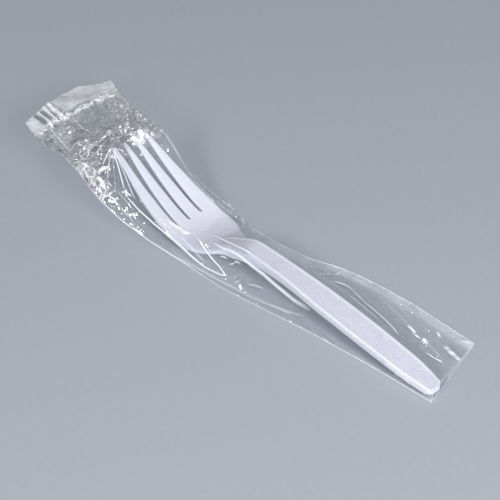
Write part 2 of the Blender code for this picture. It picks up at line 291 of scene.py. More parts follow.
def new_material(name: str) -> tuple[bpy.types.Material, NodeSheet]:
    """Makes an empty node material.

    Args:
        name: The material's name.

    Returns:
        The material and the sheet of its nodes.
    """
    material = bpy.data.materials.new(name)
    material.use_nodes = True
    material.node_tree.nodes.clear()
    return material, NodeSheet(material.node_tree)


@dataclass(frozen=True)
class FineGrain:
    """The grain that the moulded plastic and the floor share: two noises, one fine, one coarse.

    Attributes:
        tree: The node group, with the outputs Grain and Mottle, each from 0 to 1.
        coarser: How many times coarser the mottle is.
    """

    tree: bpy.types.NodeTree
    coarser: float = 7.0

    @classmethod
    def build(cls) -> "FineGrain":
        """Makes the node group, with the inputs Vector and Scale."""
        made = cls(bpy.data.node_groups.new("fine_grain", "ShaderNodeTree"))
        for name, way, kind in (
            ("Vector", "INPUT", "NodeSocketVector"),
            ("Scale", "INPUT", "NodeSocketFloat"),
            ("Grain", "OUTPUT", "NodeSocketFloat"),
            ("Mottle", "OUTPUT", "NodeSocketFloat"),
        ):
            made.tree.interface.new_socket(name, in_out=way, socket_type=kind)
        sheet = NodeSheet(made.tree)
        place, scale = sheet.add("NodeGroupInput").outputs[:2]
        fine = sheet.noise(place, scale, 3.0)
        coarse = sheet.noise(place, sheet.math("DIVIDE", scale, made.coarser), 2.0)
        sheet.add("NodeGroupOutput", {0: fine, 1: coarse})
        return made

    def put(self, sheet: NodeSheet, scale: float) -> tuple[Socket, Socket]:
        """Places the grain in a material and returns its fine grain and its mottle."""
        node = sheet.add("ShaderNodeGroup", node_tree=self.tree)
        sheet.feed(node.inputs["Vector"], sheet.place())
        sheet.feed(node.inputs["Scale"], scale)
        return node.outputs["Grain"], node.outputs["Mottle"]


@dataclass(frozen=True)
class WhitePlastic:
    """Moulded white plastic with a cool tint and a fine matte grain on its top faces, a painted highlight
    along its rims and painted shade over the bowl.

    Attributes:
        colour: The plastic's own colour.
        shade: Its colour in the hollows of the grain, and the painted shade over the bowl.
        rim: Painted highlight along the polished rims: a lighter colour where they would catch the lamps.
        grain_scale: Grains along a metre.
        grain_height: Depth of the grain in metres.
        speckle: Share of the fine grain in the shading.
        mottle: Share of the coarse grain in the shading.
        depth: How far the hollows turn to the shade.
        smooth: Roughness where the mould is polished.
        matte: Roughness where it is grained.
    """

    colour: Colour = (0.85, 0.855, 0.94)
    shade: Colour = (0.58, 0.585, 0.74)
    rim: Colour = (0.97, 0.97, 0.985)
    grain_scale: float = 2000.0
    grain_height: float = 0.00006
    speckle: float = 0.75
    mottle: float = 0.3
    depth: float = 0.75
    smooth: float = 0.2
    matte: float = 0.55

    def build(self, grain: FineGrain) -> bpy.types.Material:
        """Makes the material.

        Args:
            grain: The shared grain group.

        Returns:
            The material. It reads the point values named grain, which over the bowl is also painted shade,
            and rim, the painted highlight along the rims.
        """
        material, sheet = new_material("white_plastic_grained")
        fine, coarse = grain.put(sheet, self.grain_scale)
        mask = sheet.stored("grain")
        speck = sheet.times(sheet.remap(fine, 0.38, 0.62, 0.0, 1.0), self.speckle)
        speck = sheet.math("ADD", speck, sheet.times(coarse, self.mottle))
        # Hollows of the grain darken the colour; over the bowl this darkening is painted shade.
        hollow = sheet.times(sheet.math("SUBTRACT", 1.0, speck, clamp=True), mask)
        tint = sheet.blend(sheet.times(hollow, self.depth), self.colour, self.shade)
        height = sheet.times(fine, mask)
        bump = sheet.add("ShaderNodeBump", {"Height": height, "Strength": 0.6, "Distance": self.grain_height})
        shader = sheet.add("ShaderNodeBsdfPrincipled", {
            # Painted highlight: the rims turn to a lighter colour, standing for the lamps they catch.
            "Base Color": sheet.blend(sheet.stored("rim"), tint, self.rim),
            "Roughness": sheet.remap(mask, 0.0, 1.0, self.smooth, self.matte),
            "Normal": bump.outputs["Normal"],
        })
        sheet.add("ShaderNodeOutputMaterial", {"Surface": shader.outputs["BSDF"]})
        return material


@dataclass(frozen=True)
class ClearFilm:
    """Thin clear film: see-through, glossy and hazy where fused, with painted highlights along its creases,
    partly standing for whitened strained film, and painted shade beside them.

    Attributes:
        tint: What one layer lets through.
        dark_tint: What it lets through where painted shade darkens it, beside creases.
        facing_gloss: Share mirrored straight on, for both faces of the film.
        crinkled_gloss: Share mirrored more where the film is crumpled.
        edge_gloss: Share mirrored at a glancing angle.
        gloss_roughness: Roughness of the mirror.
        haze_colour: Colour of the milky part, which also carries the painted highlights.
        haze_roughness: Roughness of the milky part.
        haze: Share of milk in the plain film.
        seal_haze: Share of milk where two layers are fused.
        cloud_scale: Clouds in the milk along a metre.
        facet_scales: Crumpled facets along a metre, coarse and fine.
        facet_slope: How steep the facets are where the film is crumpled.
        sway: How far the facets' outlines are bent, in metres.
        sway_scale: Bends along a metre.
        crease_width: Half the width of the creases between facets, in metres.
        patch_scale: Patches along a metre, some of creases with painted highlight, some with painted shade.
        dot_scale: Fine dots of painted sparkle along a metre.
        shadow_tint: What a layer lets through of the light that it only scatters forward.
        shadow_share: How much of the scattered light goes on forward.
    """

    tint: Colour = (0.975, 0.978, 0.985)
    dark_tint: Colour = (0.52, 0.54, 0.58)
    facing_gloss: float = 0.085
    crinkled_gloss: float = 0.20
    edge_gloss: float = 0.75
    gloss_roughness: float = 0.05
    haze_colour: Colour = (0.94, 0.955, 1.0)
    haze_roughness: float = 0.25
    haze: float = 0.03
    seal_haze: float = 0.62
    cloud_scale: float = 240.0
    facet_scales: Pair = (270.0, 640.0)
    facet_slope: float = 0.62
    sway: float = 0.0014
    sway_scale: float = 160.0
    crease_width: float = 0.00016
    patch_scale: float = 330.0
    dot_scale: float = 950.0
    shadow_tint: Colour = (0.97, 0.97, 0.975)
    shadow_share: float = 0.8

    def build(self) -> bpy.types.Material:
        """Makes the material.

        Returns:
            The material. It reads the point values haze, crinkle and dotted, and those of the painted
            highlight and the painted shade beside it.
        """
        material, sheet = new_material("clear_crinkled_film")
        place, crinkle = sheet.place(), sheet.stored("crinkle")
        height, bright, dark = self.facets(sheet, place, crinkle)
        bright = sheet.most(bright, self.dots(sheet, place))
        dark = sheet.most(dark, sheet.stored("dark"))
        bump = sheet.add("ShaderNodeBump", {"Height": height, "Strength": 1.0, "Distance": 1.0})
        normal = bump.outputs["Normal"]

        # Painted shade: the film lets less through beside creases and on dim facets.
        let_through = sheet.blend(dark, self.tint, self.dark_tint)
        clear = sheet.add("ShaderNodeBsdfTransparent", {"Color": let_through})
        gloss = sheet.add("ShaderNodeBsdfGlossy", {
            "Color": (1.0, 1.0, 1.0, 1.0), "Roughness": self.gloss_roughness, "Normal": normal,
        })
        facing = sheet.add("ShaderNodeLayerWeight", {"Blend": 0.5, "Normal": normal}).outputs["Facing"]
        glancing = sheet.math("POWER", facing, 5.0)
        mirrored = sheet.remap(glancing, 0.0, 1.0, self.facing_gloss, self.edge_gloss)
        mirrored = sheet.math("ADD", mirrored, sheet.times(crinkle, self.crinkled_gloss))
        film = sheet.shader_mix(mirrored, clear, gloss)

        cloud = sheet.remap(sheet.noise(place, self.cloud_scale, 5.0), 0.36, 0.66, 0.5, 1.0)
        milk = sheet.times(sheet.times(sheet.stored("haze"), cloud), self.seal_haze)
        # Painted highlight along creases, bends, edges and pleat crests, and the painted sparkle, turns the
        # film milky white.
        white = sheet.most(sheet.remap(sheet.stored("strain_white_and_highlight"), 0.12, 0.75, 0.0, 1.0), bright)
        milk = sheet.math("ADD", sheet.math("ADD", milk, white), self.haze, clamp=True)
        milky = sheet.add("ShaderNodeBsdfPrincipled", {
            "Base Color": (*self.haze_colour, 1.0), "Roughness": self.haze_roughness, "Normal": normal,
        })
        passed = sheet.add("ShaderNodeBsdfTransparent", {"Color": (*self.shadow_tint, 1.0)})
        shadow = sheet.add("ShaderNodeLightPath").outputs["Is Shadow Ray"]
        surface = sheet.shader_mix(milk, film, milky)
        surface = sheet.shader_mix(sheet.times(shadow, self.shadow_share), surface, passed)
        sheet.add("ShaderNodeOutputMaterial", {"Surface": surface.outputs[0]})
        return material

    def facets(self, sheet: NodeSheet, place: Socket, crinkle: Socket) -> tuple[Socket, Socket, Socket]:
        """Breaks the crumpled film into flat facets of two sizes with creases between them.

        A facet rises with the distance from its edge, so it is a low flat-sided peak. Some
        creases get a painted highlight and some painted shade, in patches, and so do a few whole facets.

        Args:
            sheet: The material's nodes.
            place: Object coordinates.
            crinkle: How crumpled the film is.

        Returns:
            The height in metres, and the painted highlight and the painted shade.
        """
        bend = sheet.add("ShaderNodeTexNoise", {"Vector": place, "Scale": self.sway_scale, "Detail": 1.0})
        reach = {0: bend.outputs["Color"], 1: (self.sway,) * 3}
        moved = sheet.add("ShaderNodeVectorMath", reach, operation="MULTIPLY").outputs[0]
        bent = sheet.add("ShaderNodeVectorMath", {0: place, 1: moved}, operation="ADD").outputs[0]
        facets, creases = [], []
        for scale in self.facet_scales:
            cells = sheet.cells(bent, scale, "DISTANCE_TO_EDGE")
            facets.append(sheet.math("DIVIDE", cells.outputs["Distance"], scale))
            creases.append(sheet.remap(facets[-1], 0.0, self.crease_width, 1.0, 0.0))
        facet = sheet.math("ADD", facets[0], sheet.times(facets[1], 0.7))
        height = sheet.times(facet, sheet.times(crinkle, self.facet_slope))
        chance = sheet.chance(sheet.cells(bent, self.facet_scales[0]), "Red")
        # A few whole facets get painted shade (dim) and a few a painted highlight (lit).
        dim = sheet.times(sheet.remap(chance, 0.22, 0.24, 0.75, 0.0), crinkle, clamp=True)
        lit = sheet.times(sheet.remap(chance, 0.95, 0.96, 0.0, 0.4), crinkle, clamp=True)
        patchy = sheet.noise(place, self.patch_scale, 2.0)
        crease = sheet.times(sheet.most(creases[0], sheet.times(creases[1], 0.6)), crinkle, clamp=True)
        # Painted highlight on the creases in some patches, painted shade in others.
        bright = sheet.times(crease, sheet.remap(patchy, 0.5, 0.66, 0.0, 0.8))
        dark = sheet.times(crease, sheet.remap(patchy, 0.34, 0.5, 1.0, 0.0))
        return height, sheet.most(bright, lit), sheet.most(dark, dim)

    def dots(self, sheet: NodeSheet, place: Socket) -> Socket:
        """Returns painted sparkle: bright spots in the middles of some of the smallest cells, standing for
        fine raised dots that catch the light.
        """
        cells = sheet.cells(place, self.dot_scale)
        dot = sheet.times(sheet.remap(cells.outputs["Distance"], 0.24, 0.4, 1.0, 0.0), sheet.stored("dotted"))
        return sheet.times(dot, sheet.remap(sheet.chance(cells, "Green"), 0.3, 0.8, 0.0, 1.0))


@dataclass(frozen=True)
class PaleFloor:
    """Plain pale cool-grey floor with a barely seen grain."""

    colour: Colour = (0.46, 0.48, 0.53)
    speck: Colour = (0.42, 0.44, 0.49)
    grain_scale: float = 500.0
    roughness: float = 0.85

    def build(self, grain: FineGrain) -> bpy.types.Material:
        """Makes the material from the shared grain."""
        material, sheet = new_material("pale_floor")
        fine, _ = grain.put(sheet, self.grain_scale)
        tint = sheet.blend(fine, self.colour, self.speck)
        shader = sheet.add("ShaderNodeBsdfPrincipled", {"Base Color": tint, "Roughness": self.roughness})
        sheet.add("ShaderNodeOutputMaterial", {"Surface": shader.outputs["BSDF"]})
        return material


@dataclass(frozen=True)
class ForkForm:
    """Sizes of the moulded fork. Stations are lines along its length."""

    length: float = 155.0
    crown: Stations = ((0, 3.4), (25, 6.6), (50, 9.3), (75, 11.3), (88, 11.5), (98, 8.6),
                       (107, 4.3), (115, 2.8), (124, 4.9), (138, 11.8), (155, 23.4))
    edge_drop: Stations = ((80, 0.12), (85, 0.5), (90, 1.5), (94, 1.95), (98, 1.5), (103, 0.6),
                           (108, -0.5), (114, -1.1), (118, -1.3), (138, -0.7), (155, -0.3))
    skirt_depth: Stations = ((0, 2.1), (50, 2.2), (65, 2.5), (78, 3.0), (88, 3.4), (94, 2.7),
                             (100, 1.8), (112, 1.5))
    tongue_half: Stations = ((0, 3.2), (3, 3.7), (15, 4.7), (35, 5.0), (50, 4.9), (70, 4.1),
                             (82, 3.9), (88, 3.75), (92, 3.3), (96, 2.5), (100, 1.6), (105, 0.6),
                             (110, 0.3), (116, 0.0))
    head_half: Stations = ((80, 4.08), (88, 4.3), (93, 4.7), (97, 5.3), (100, 6.4), (103, 7.9),
                           (107, 10.0), (111, 11.4), (116, 12.1), (122, 12.0), (135, 11.2),
                           (145, 9.8), (155, 8.05))
    pitch: Stations = ((122, 5.95), (135, 5.75), (145, 5.4), (155, 4.96))
    slot_half: Stations = ((122.5, 0.5), (135, 0.75), (142, 1.0), (149, 1.35), (155, 1.85))
    slot_root: float = 122.0
    slot_root_radius: float = 0.5
    neck_start: float = 80.0
    neck_end: float = 112.0
    lip: float = 0.14
    skirt_flare: float = 0.2
    rim_height: float = 0.26
    rim_inset: float = 0.5
    rim_width: float = 0.34
    rim_end: Pair = (105.0, 113.0)
    tongue_step: float = 0.35
    neck_power: float = 1.15
    bowl_power: float = 2.0
    bowl_rise: Pair = (98.0, 114.0)
    handle_wall: float = 1.3
    bowl_wall: float = 1.7
    tip_wall: float = 1.2
    tip_round: float = 0.9
    edge_round: float = 0.35
    tine_crown: float = 0.12

    def wall(self, u: Array) -> Array:
        """Returns the wall's thickness: the handle's, then the bowl's, thinning to the tips."""
        wall = mix(self.handle_wall, self.bowl_wall, ease(self.neck_start, self.neck_end, u))
        return mix(wall, self.tip_wall, ease(self.slot_root, self.length, u))

    def half_width(self, u: Array) -> Array:
        """Returns half the width over the top face: the handle's, flaring into the head's."""
        handle = through(self.tongue_half, u) + self.lip
        return np.where(u < self.neck_start, handle, through(self.head_half, u))

    def slot(self, u: Array) -> Array:
        """Returns half a slot's width: a half circle at the root, then a slow opening."""
        radius = self.slot_root_radius
        into = np.clip(u - self.slot_root, 0.0, radius)
        root = np.sqrt(np.maximum(radius ** 2 - (radius - into) ** 2, 0.0))
        return np.where(u < self.slot_root + radius, root, through(self.slot_half, u))

    def top(self, u: Array, v: Array) -> Array:
        """Returns the top face's height at places along and across.

        The handle's top face runs on as a tongue that narrows into the bowl at the crown
        line's height. Beside it the face falls to the edge: straight at the neck, and
        rising along a parabola in the bowl and on the tines. A low rim follows the tongue.
        """
        crown = through(self.crown, u)
        half, tongue = self.half_width(u), through(self.tongue_half, u)
        out = np.clip((np.abs(v) - tongue) / np.maximum(half - tongue, 0.05), 0.0, 1.0)
        power = mix(self.neck_power, self.bowl_power, ease(*self.bowl_rise, u))
        face = crown - through(self.edge_drop, u) * out ** power
        inset = np.minimum(self.rim_inset, 0.3 * tongue)
        rim = bell(np.abs(v) - tongue + inset, self.rim_width)
        step = ease(0.0, 0.5, np.abs(v) - tongue) * ease(self.neck_start, self.neck_start + 8.0, u)
        return face + (self.rim_height * rim - self.tongue_step * step) * (1 - ease(*self.rim_end, u))

    def cover(self, u: Array, v: Array, margin: float) -> Array:
        """Returns the height that the film must clear, or a low number beside the fork."""
        over = (np.abs(v) < self.half_width(u) + margin) & (u > -margin) & (u < self.length + margin)
        return np.where(over, self.top(u, np.clip(v, -12.0, 12.0)), -100.0)

    def round_over(self, v: Array, inner_side: Array | float, outer_side: Array | float) -> Array:
        """Returns how far a face sinks beside its first and last column: by a quarter circle.

        Args:
            v: Places across, a row for each section.
            inner_side: How much of the rounding the first column's side gets, 0 to 1.
            outer_side: The same for the last column's side.

        Returns:
            The drop at each place.
        """
        drop = 0.0
        for gap, share in ((v - v[:, :1], inner_side), (v[:, -1:] - v, outer_side)):
            into = np.clip(self.edge_round - gap, 0.0, self.edge_round) * share
            drop = drop + self.edge_round - np.sqrt(self.edge_round ** 2 - into ** 2)
        return drop


@dataclass(frozen=True)
class Fork:
    """The fork: a channel handle, a dished bowl and four upswept tines, moulded as one."""

    form: ForkForm = field(default_factory=ForkForm)
    row_step: float = 0.6
    tine_columns: int = 12
    edge_columns: int = 7
    end_wall: float = 1.1
    end_bow: float = 1.5
    end_reach: float = 10.0
    end_face: float = 0.06
    head_grain_and_shade: Pair = (0.7, 0.25)
    head_start: Pair = (84.0, 100.0)
    tines_start: Pair = (114.0, 128.0)
    sharp_angle: float = 50.0
    merge: float = 2e-7

    def rows(self) -> Array:
        """Returns the sections' places, closer together at the end, the slot roots and the tips."""
        form = self.form
        return np.concatenate([
            [self.end_face, 0.2, 0.45, 0.8],
            np.arange(1.2, form.slot_root - 0.3, self.row_step),
            form.slot_root + form.slot_root_radius * np.array([0.0, 0.05, 0.15, 0.35, 0.65, 1.0]),
            np.arange(form.slot_root + 1.1, form.length - 1.2, self.row_step),
            form.length - np.array([form.tip_round, 0.6, 0.35, 0.15, 0.04, 0.0]),
        ])

    def half_section(self, u: Array) -> tuple[Array, Array, Array, Array]:
        """Works out one side of every section, from the middle outwards.

        The inner tine runs between the middle slot and the side slot, the outer tine from
        there to the edge. Columns crowd towards each tine's sides, where the face rounds
        over. Past the edge the section turns down the skirt.

        Args:
            u: The sections' places along the fork.

        Returns:
            Places across and heights of the top points, then of the points below them.
        """
        form = self.form
        u = u[:, None]
        spread = np.linspace(0, 1, self.tine_columns)
        crowd = (1 - np.cos(np.pi * spread)) / 2
        slot, pitch, half = form.slot(u), through(form.pitch, u), form.half_width(u)
        tongue = through(form.tongue_half, u)
        head = ease(form.neck_end - 2.0, form.slot_root - 0.2, u)
        tip_start = form.length - form.tip_round
        tip = np.sqrt(np.clip(1 - ((u - tip_start) / form.tip_round) ** 2, 0.04, 1.0))
        tip = np.where(u > tip_start, tip, 1.0)
        split_in, split_out = mix(tongue, pitch - slot, head), mix(tongue, pitch + slot, head)
        inner = mix(slot, split_in, crowd)
        outer = mix(split_out, half - 0.02, mix(spread ** 1.5, crowd, head))
        tines = []
        for tine, middle in ((inner, (slot + split_in) / 2), (outer, (split_out + half) / 2)):
            tines.append(np.where(tip < 1, middle + (tine - middle) * tip, tine))
        inner, outer = tines

        slotted = ease(form.slot_root - 0.2, form.slot_root + 1.0, u)
        edged = ease(form.neck_start + 4.0, form.neck_end, u)
        bulge = form.tine_crown * ease(form.slot_root, form.slot_root + 8.0, u) * (1 - (2 * crowd - 1) ** 2)
        z_inner = form.top(u, inner) - form.round_over(inner, slotted, slotted) + bulge
        z_outer = form.top(u, outer) - form.round_over(outer, slotted, edged) + bulge

        wall = form.wall(u) * mix(0.45, 1.0, tip)
        depth = mix(through(form.skirt_depth, u), wall, ease(104, 116, u))
        fall = np.linspace(0, 1, self.edge_columns + 1)[1:]
        flare = mix(form.skirt_flare * fall, -0.12 * np.sin(np.pi * fall / 2) ** 2, edged)
        skirt_v = outer[:, -1:] + 0.05 * np.sin(np.pi * fall) + flare
        skirt_z = z_outer[:, -1:] - (depth - mix(0.0, form.edge_round, edged)) * fall

        reach = skirt_v[:, -1:] - mix(form.handle_wall, 0.35, edged)
        floor = skirt_z[:, -1:]
        under_inner = np.minimum(inner, reach - 0.1)
        under_outer = np.minimum(outer, reach - 0.05 * (1 - crowd))
        roof_inner = form.top(u, inner) - wall + form.round_over(inner, slotted, slotted)
        roof_outer = form.top(u, outer) - wall + form.round_over(outer, slotted, 0.0)
        roof_outer = np.where(under_outer < outer, np.maximum(roof_outer, floor), roof_outer)
        inner_skirt_v = np.broadcast_to(reach, skirt_v.shape)
        inner_skirt_z = mix(roof_outer[:, -1:], floor, fall)
        return (
            np.concatenate([inner, outer, skirt_v], axis=1),
            np.concatenate([z_inner, z_outer, skirt_z], axis=1),
            np.concatenate([under_inner, under_outer, inner_skirt_v], axis=1),
            np.concatenate([roof_inner, roof_outer, inner_skirt_z], axis=1),
        )

    def both_sides(self, u: Array, v: Array, z: Array, inset: Array | float) -> Array:
        """Mirrors half sections, bows the handle's end and closes it with a first row.

        Args:
            u: The sections' places along the fork.
            v: Places across of one side's points, a row for each section.
            z: Their heights.
            inset: How far the points stand back from the handle's end.

        Returns:
            Rows of points, from the right edge to the left.
        """
        reach = self.end_share(u)
        bow = self.end_bow * np.minimum(np.abs(v) / through(self.form.tongue_half, 0.0), 1.05) ** 4
        along = u[:, None] + inset + bow * reach
        right = np.stack([along, -v, z], -1)[:, ::-1]
        return np.concatenate([right, np.stack([along, v, z], -1)], axis=1)

    def end_share(self, u: Array) -> Array:
        """Returns 1 at the handle's end, falling to 0 in a straight line."""
        return np.maximum(0.0, 1 - u / self.end_reach)[:, None]

    def faces(self, u: Array, rows: int, columns: int) -> Array:
        """Lists the faces of the upper and lower grids and of the walls that join them.

        The upper grid's points come first. Quads that would bridge a slot are left out, and
        walls stand along both edges, both ends and each slot's sides from its root on.

        Args:
            u: The sections' places along the fork.
            rows: Rows of each grid.
            columns: Points in a row.

        Returns:
            Rows of four point numbers.
        """
        side = columns // 2
        bridges = [side - 1, side - 1 - self.tine_columns, side - 1 + self.tine_columns]
        keep = np.setdiff1d(np.arange(columns - 1), bridges)
        upper = grid_quads(rows, columns).reshape(rows - 1, columns - 1, 4)[:, keep].reshape(-1, 4)
        slot_row = int(np.searchsorted(u, self.form.slot_root)) + 1
        lines = [np.arange(0, rows) * columns + c for c in (0, columns - 1)]
        lines += [np.arange(slot_row, rows) * columns + c for b in bridges for c in (b, b + 1)]
        ends = [r * columns + np.arange(columns) for r in (0, rows - 1)]

        def wall(line: Array) -> Array:
            """Stands a strip of quads between a line of upper points and the points below."""
            below = line + rows * columns
            return np.stack([line[:-1], line[1:], below[1:], below[:-1]], -1)

        walls = [wall(line) for line in lines] + [wall(line)[keep] for line in ends]
        return np.concatenate([upper, upper[:, ::-1] + rows * columns, *walls])

    def build(self, frame: PackFrame, plastic: bpy.types.Material) -> bpy.types.Object:
        """Sweeps the sections into one closed body.

        Args:
            frame: Where the fork lies.
            plastic: Its material.

        Returns:
            The finished piece.
        """
        u = self.rows()
        top_v, top_z, under_v, under_z = self.half_section(u)
        top = self.both_sides(u, top_v, top_z, 0.0)
        under = self.both_sides(u, under_v, under_z, self.end_wall * self.end_share(u))
        first_top, first_under = top[:1].copy(), under[:1].copy()
        first_top[..., 0] -= self.end_face
        first_top[..., 2] = first_under[..., 2] = top[0, 0, 2]
        top = np.concatenate([first_top, top])
        under = np.concatenate([first_under, under])

        faces = self.faces(u, *top.shape[:2])
        points = frame.place(np.concatenate([top.reshape(-1, 3), under.reshape(-1, 3)]))
        made = mesh_object("moulded_fork", points, faces, merge=self.merge)
        made.data.materials.append(plastic)
        self.finish(made, frame)
        made.data.set_sharp_from_angle(angle=math.radians(self.sharp_angle))
        return made

    def finish(self, made: bpy.types.Object, frame: PackFrame) -> None:
        """Stores where the mould is grained and where its polished rims get a painted highlight.

        The grain is strongest between the handle's rims and weakest on the tines. On the bowl it is also
        painted shade, so the bowl reads darker than the tines.

        Args:
            made: The fork.
            frame: Where it lies.
        """
        form = self.form
        points, normals = np.empty((2, len(made.data.vertices) * 3))
        made.data.vertices.foreach_get("co", points)
        made.data.vertices.foreach_get("normal", normals)
        points, up = points.reshape(-1, 3), normals.reshape(-1, 3)[:, 2]
        u = (points[:, 0] - frame.handle_end) / MM
        past_tongue = np.abs(points[:, 1] - frame.middle) / MM - through(form.tongue_half, u)
        head = ease(*self.head_start, u)
        # Grain on the head: on the bowl strong enough to paint shade, on the tines a light speckle.
        on_head = mix(*self.head_grain_and_shade, ease(*self.tines_start, u)) * head
        on_handle = (1 - ease(-0.9, -0.5, past_tongue)) * (1 - head)
        point_values(made, "grain", ease(0.55, 0.85, up) * np.maximum(on_handle, on_head))
        # Painted highlight along the polished rims, on faces that point upwards.
        rim = bell(past_tongue + form.rim_inset, form.rim_width)
        point_values(made, "rim", rim * (1 - ease(104, 112, u)) * ease(0.2, 0.5, up))


class Sheet(Enum):
    """The two sheets of the flattened film tube."""

    TOP = 1
    UNDER = 2


@dataclass(frozen=True)
class Patch:
    """A soft spot on the film: its middle and its reach along and across, and its strength."""

    middle: Pair
    reach: Pair
    strength: float = 1.0

    def over(self, u: Array, v: Array) -> Array:
        """Returns the strength in the middle, falling as e to the minus distance squared."""
        away = ((u - self.middle[0]) / self.reach[0]) ** 2 + ((v - self.middle[1]) / self.reach[1]) ** 2
        return self.strength * np.exp(-away)


@dataclass(frozen=True)
class Fold:
    """A fold in the film along a bent line: a ridge with flat flanks that fades at its ends.

    Attributes:
        line: Places along and across that the ridge passes.
        height: Its height, or depth where negative.
        width: Half the width of the ridge.
        white: Painted highlight along it, 0 to 1, partly standing for whitened strained film.
        white_width: Half the width of the painted highlight line.
        sheet: The sheet that is folded.
        fade: Length over which it fades at each end.
        dark: Painted shade on both sides of the highlight line.
    """

    line: tuple[Pair, ...]
    height: float
    width: float
    white: float = 0.0
    white_width: float = 0.42
    sheet: Sheet = Sheet.TOP
    fade: float = 3.0
    dark: float = 0.0

    def distance(self, u: Array, v: Array) -> tuple[Array, Array, float]:
        """Measures the way to the line.

        Args:
            u: Places along.
            v: Places across.

        Returns:
            The distance to the nearest point of the line, the way along the line to that
            point, and the line's length.
        """
        line = np.array(self.line, float)
        legs = np.linalg.norm(np.diff(line, axis=0), axis=1)
        nearest = np.full(np.broadcast_shapes(u.shape, v.shape), 1e9)
        passed = np.zeros_like(nearest)
        for start, end, leg, before in zip(line[:-1], line[1:], legs, np.cumsum(legs) - legs):
            ahead = (end - start) / leg
            t = np.clip((u - start[0]) * ahead[0] + (v - start[1]) * ahead[1], 0.0, leg)
            away = np.hypot(u - start[0] - t * ahead[0], v - start[1] - t * ahead[1])
            passed = np.where(away < nearest, before + t, passed)
            nearest = np.minimum(nearest, away)
        return nearest, passed, legs.sum()

    def shape(self, u: Array, v: Array) -> tuple[Array, Array, Array]:
        """Returns the fold's lift, painted highlight and painted shade at places along and across."""
        away, passed, length = self.distance(u, v)
        to_end = np.minimum(passed, length - passed)
        fade = np.clip(to_end / min(self.fade, 0.4 * length), 0.0, 1.0)
        lift = self.height * np.clip(1 - away / self.width, 0.0, 1.0) * fade
        line = np.sqrt(fade) * bell(away, self.white_width)
        beside = fade * bell(away - 2.1 * self.white_width, self.white_width)
        return lift, self.white * line, self.dark * beside


@dataclass(frozen=True)
class Crumple:
    """A crowd of short random folds round one place.

    Attributes:
        middle: Place along and across.
        spread: Reach along and across.
        heading: Mean direction in degrees, 0 along the fork.
        turn: Spread of the direction in degrees.
        count: Number of folds.
        length: Shortest and longest.
        width: Narrowest and widest half width.
        height: Lowest and highest ridge.
        white: Greatest painted highlight of a fold.
        sheet: The sheet that is creased.
        white_width: Half the width of the painted highlight lines.
    """

    middle: Pair
    spread: Pair
    heading: float
    turn: float
    count: int
    length: Pair
    width: Pair
    height: Pair
    white: float = 0.0
    sheet: Sheet = Sheet.TOP
    white_width: float = 0.22

    def draw(self, random: np.random.Generator) -> list[Fold]:
        """Draws the crowd, with ridges and hollows alike."""
        place = np.array(self.middle) + random.normal(0, 0.5, (self.count, 2)) * np.array(self.spread)
        angle = np.radians(self.heading + random.normal(0, self.turn, self.count))
        length = random.uniform(*self.length, self.count)
        width = random.uniform(*self.width, self.count)
        height = random.uniform(*self.height, self.count) * random.choice([-0.8, 1.0], self.count)
        white = np.minimum(self.white * random.uniform(0, 1, self.count) ** 1.5, 1.0)
        half = np.stack([np.cos(angle), np.sin(angle)], -1) * length[:, None] / 2
        # Each fold's painted highlight comes with painted shade beside it.
        return [
            Fold((tuple(place[i] - half[i]), tuple(place[i] + half[i])), height[i], width[i], white[i],
                 self.white_width, self.sheet, dark=0.8 * white[i])
            for i in range(self.count)
        ]


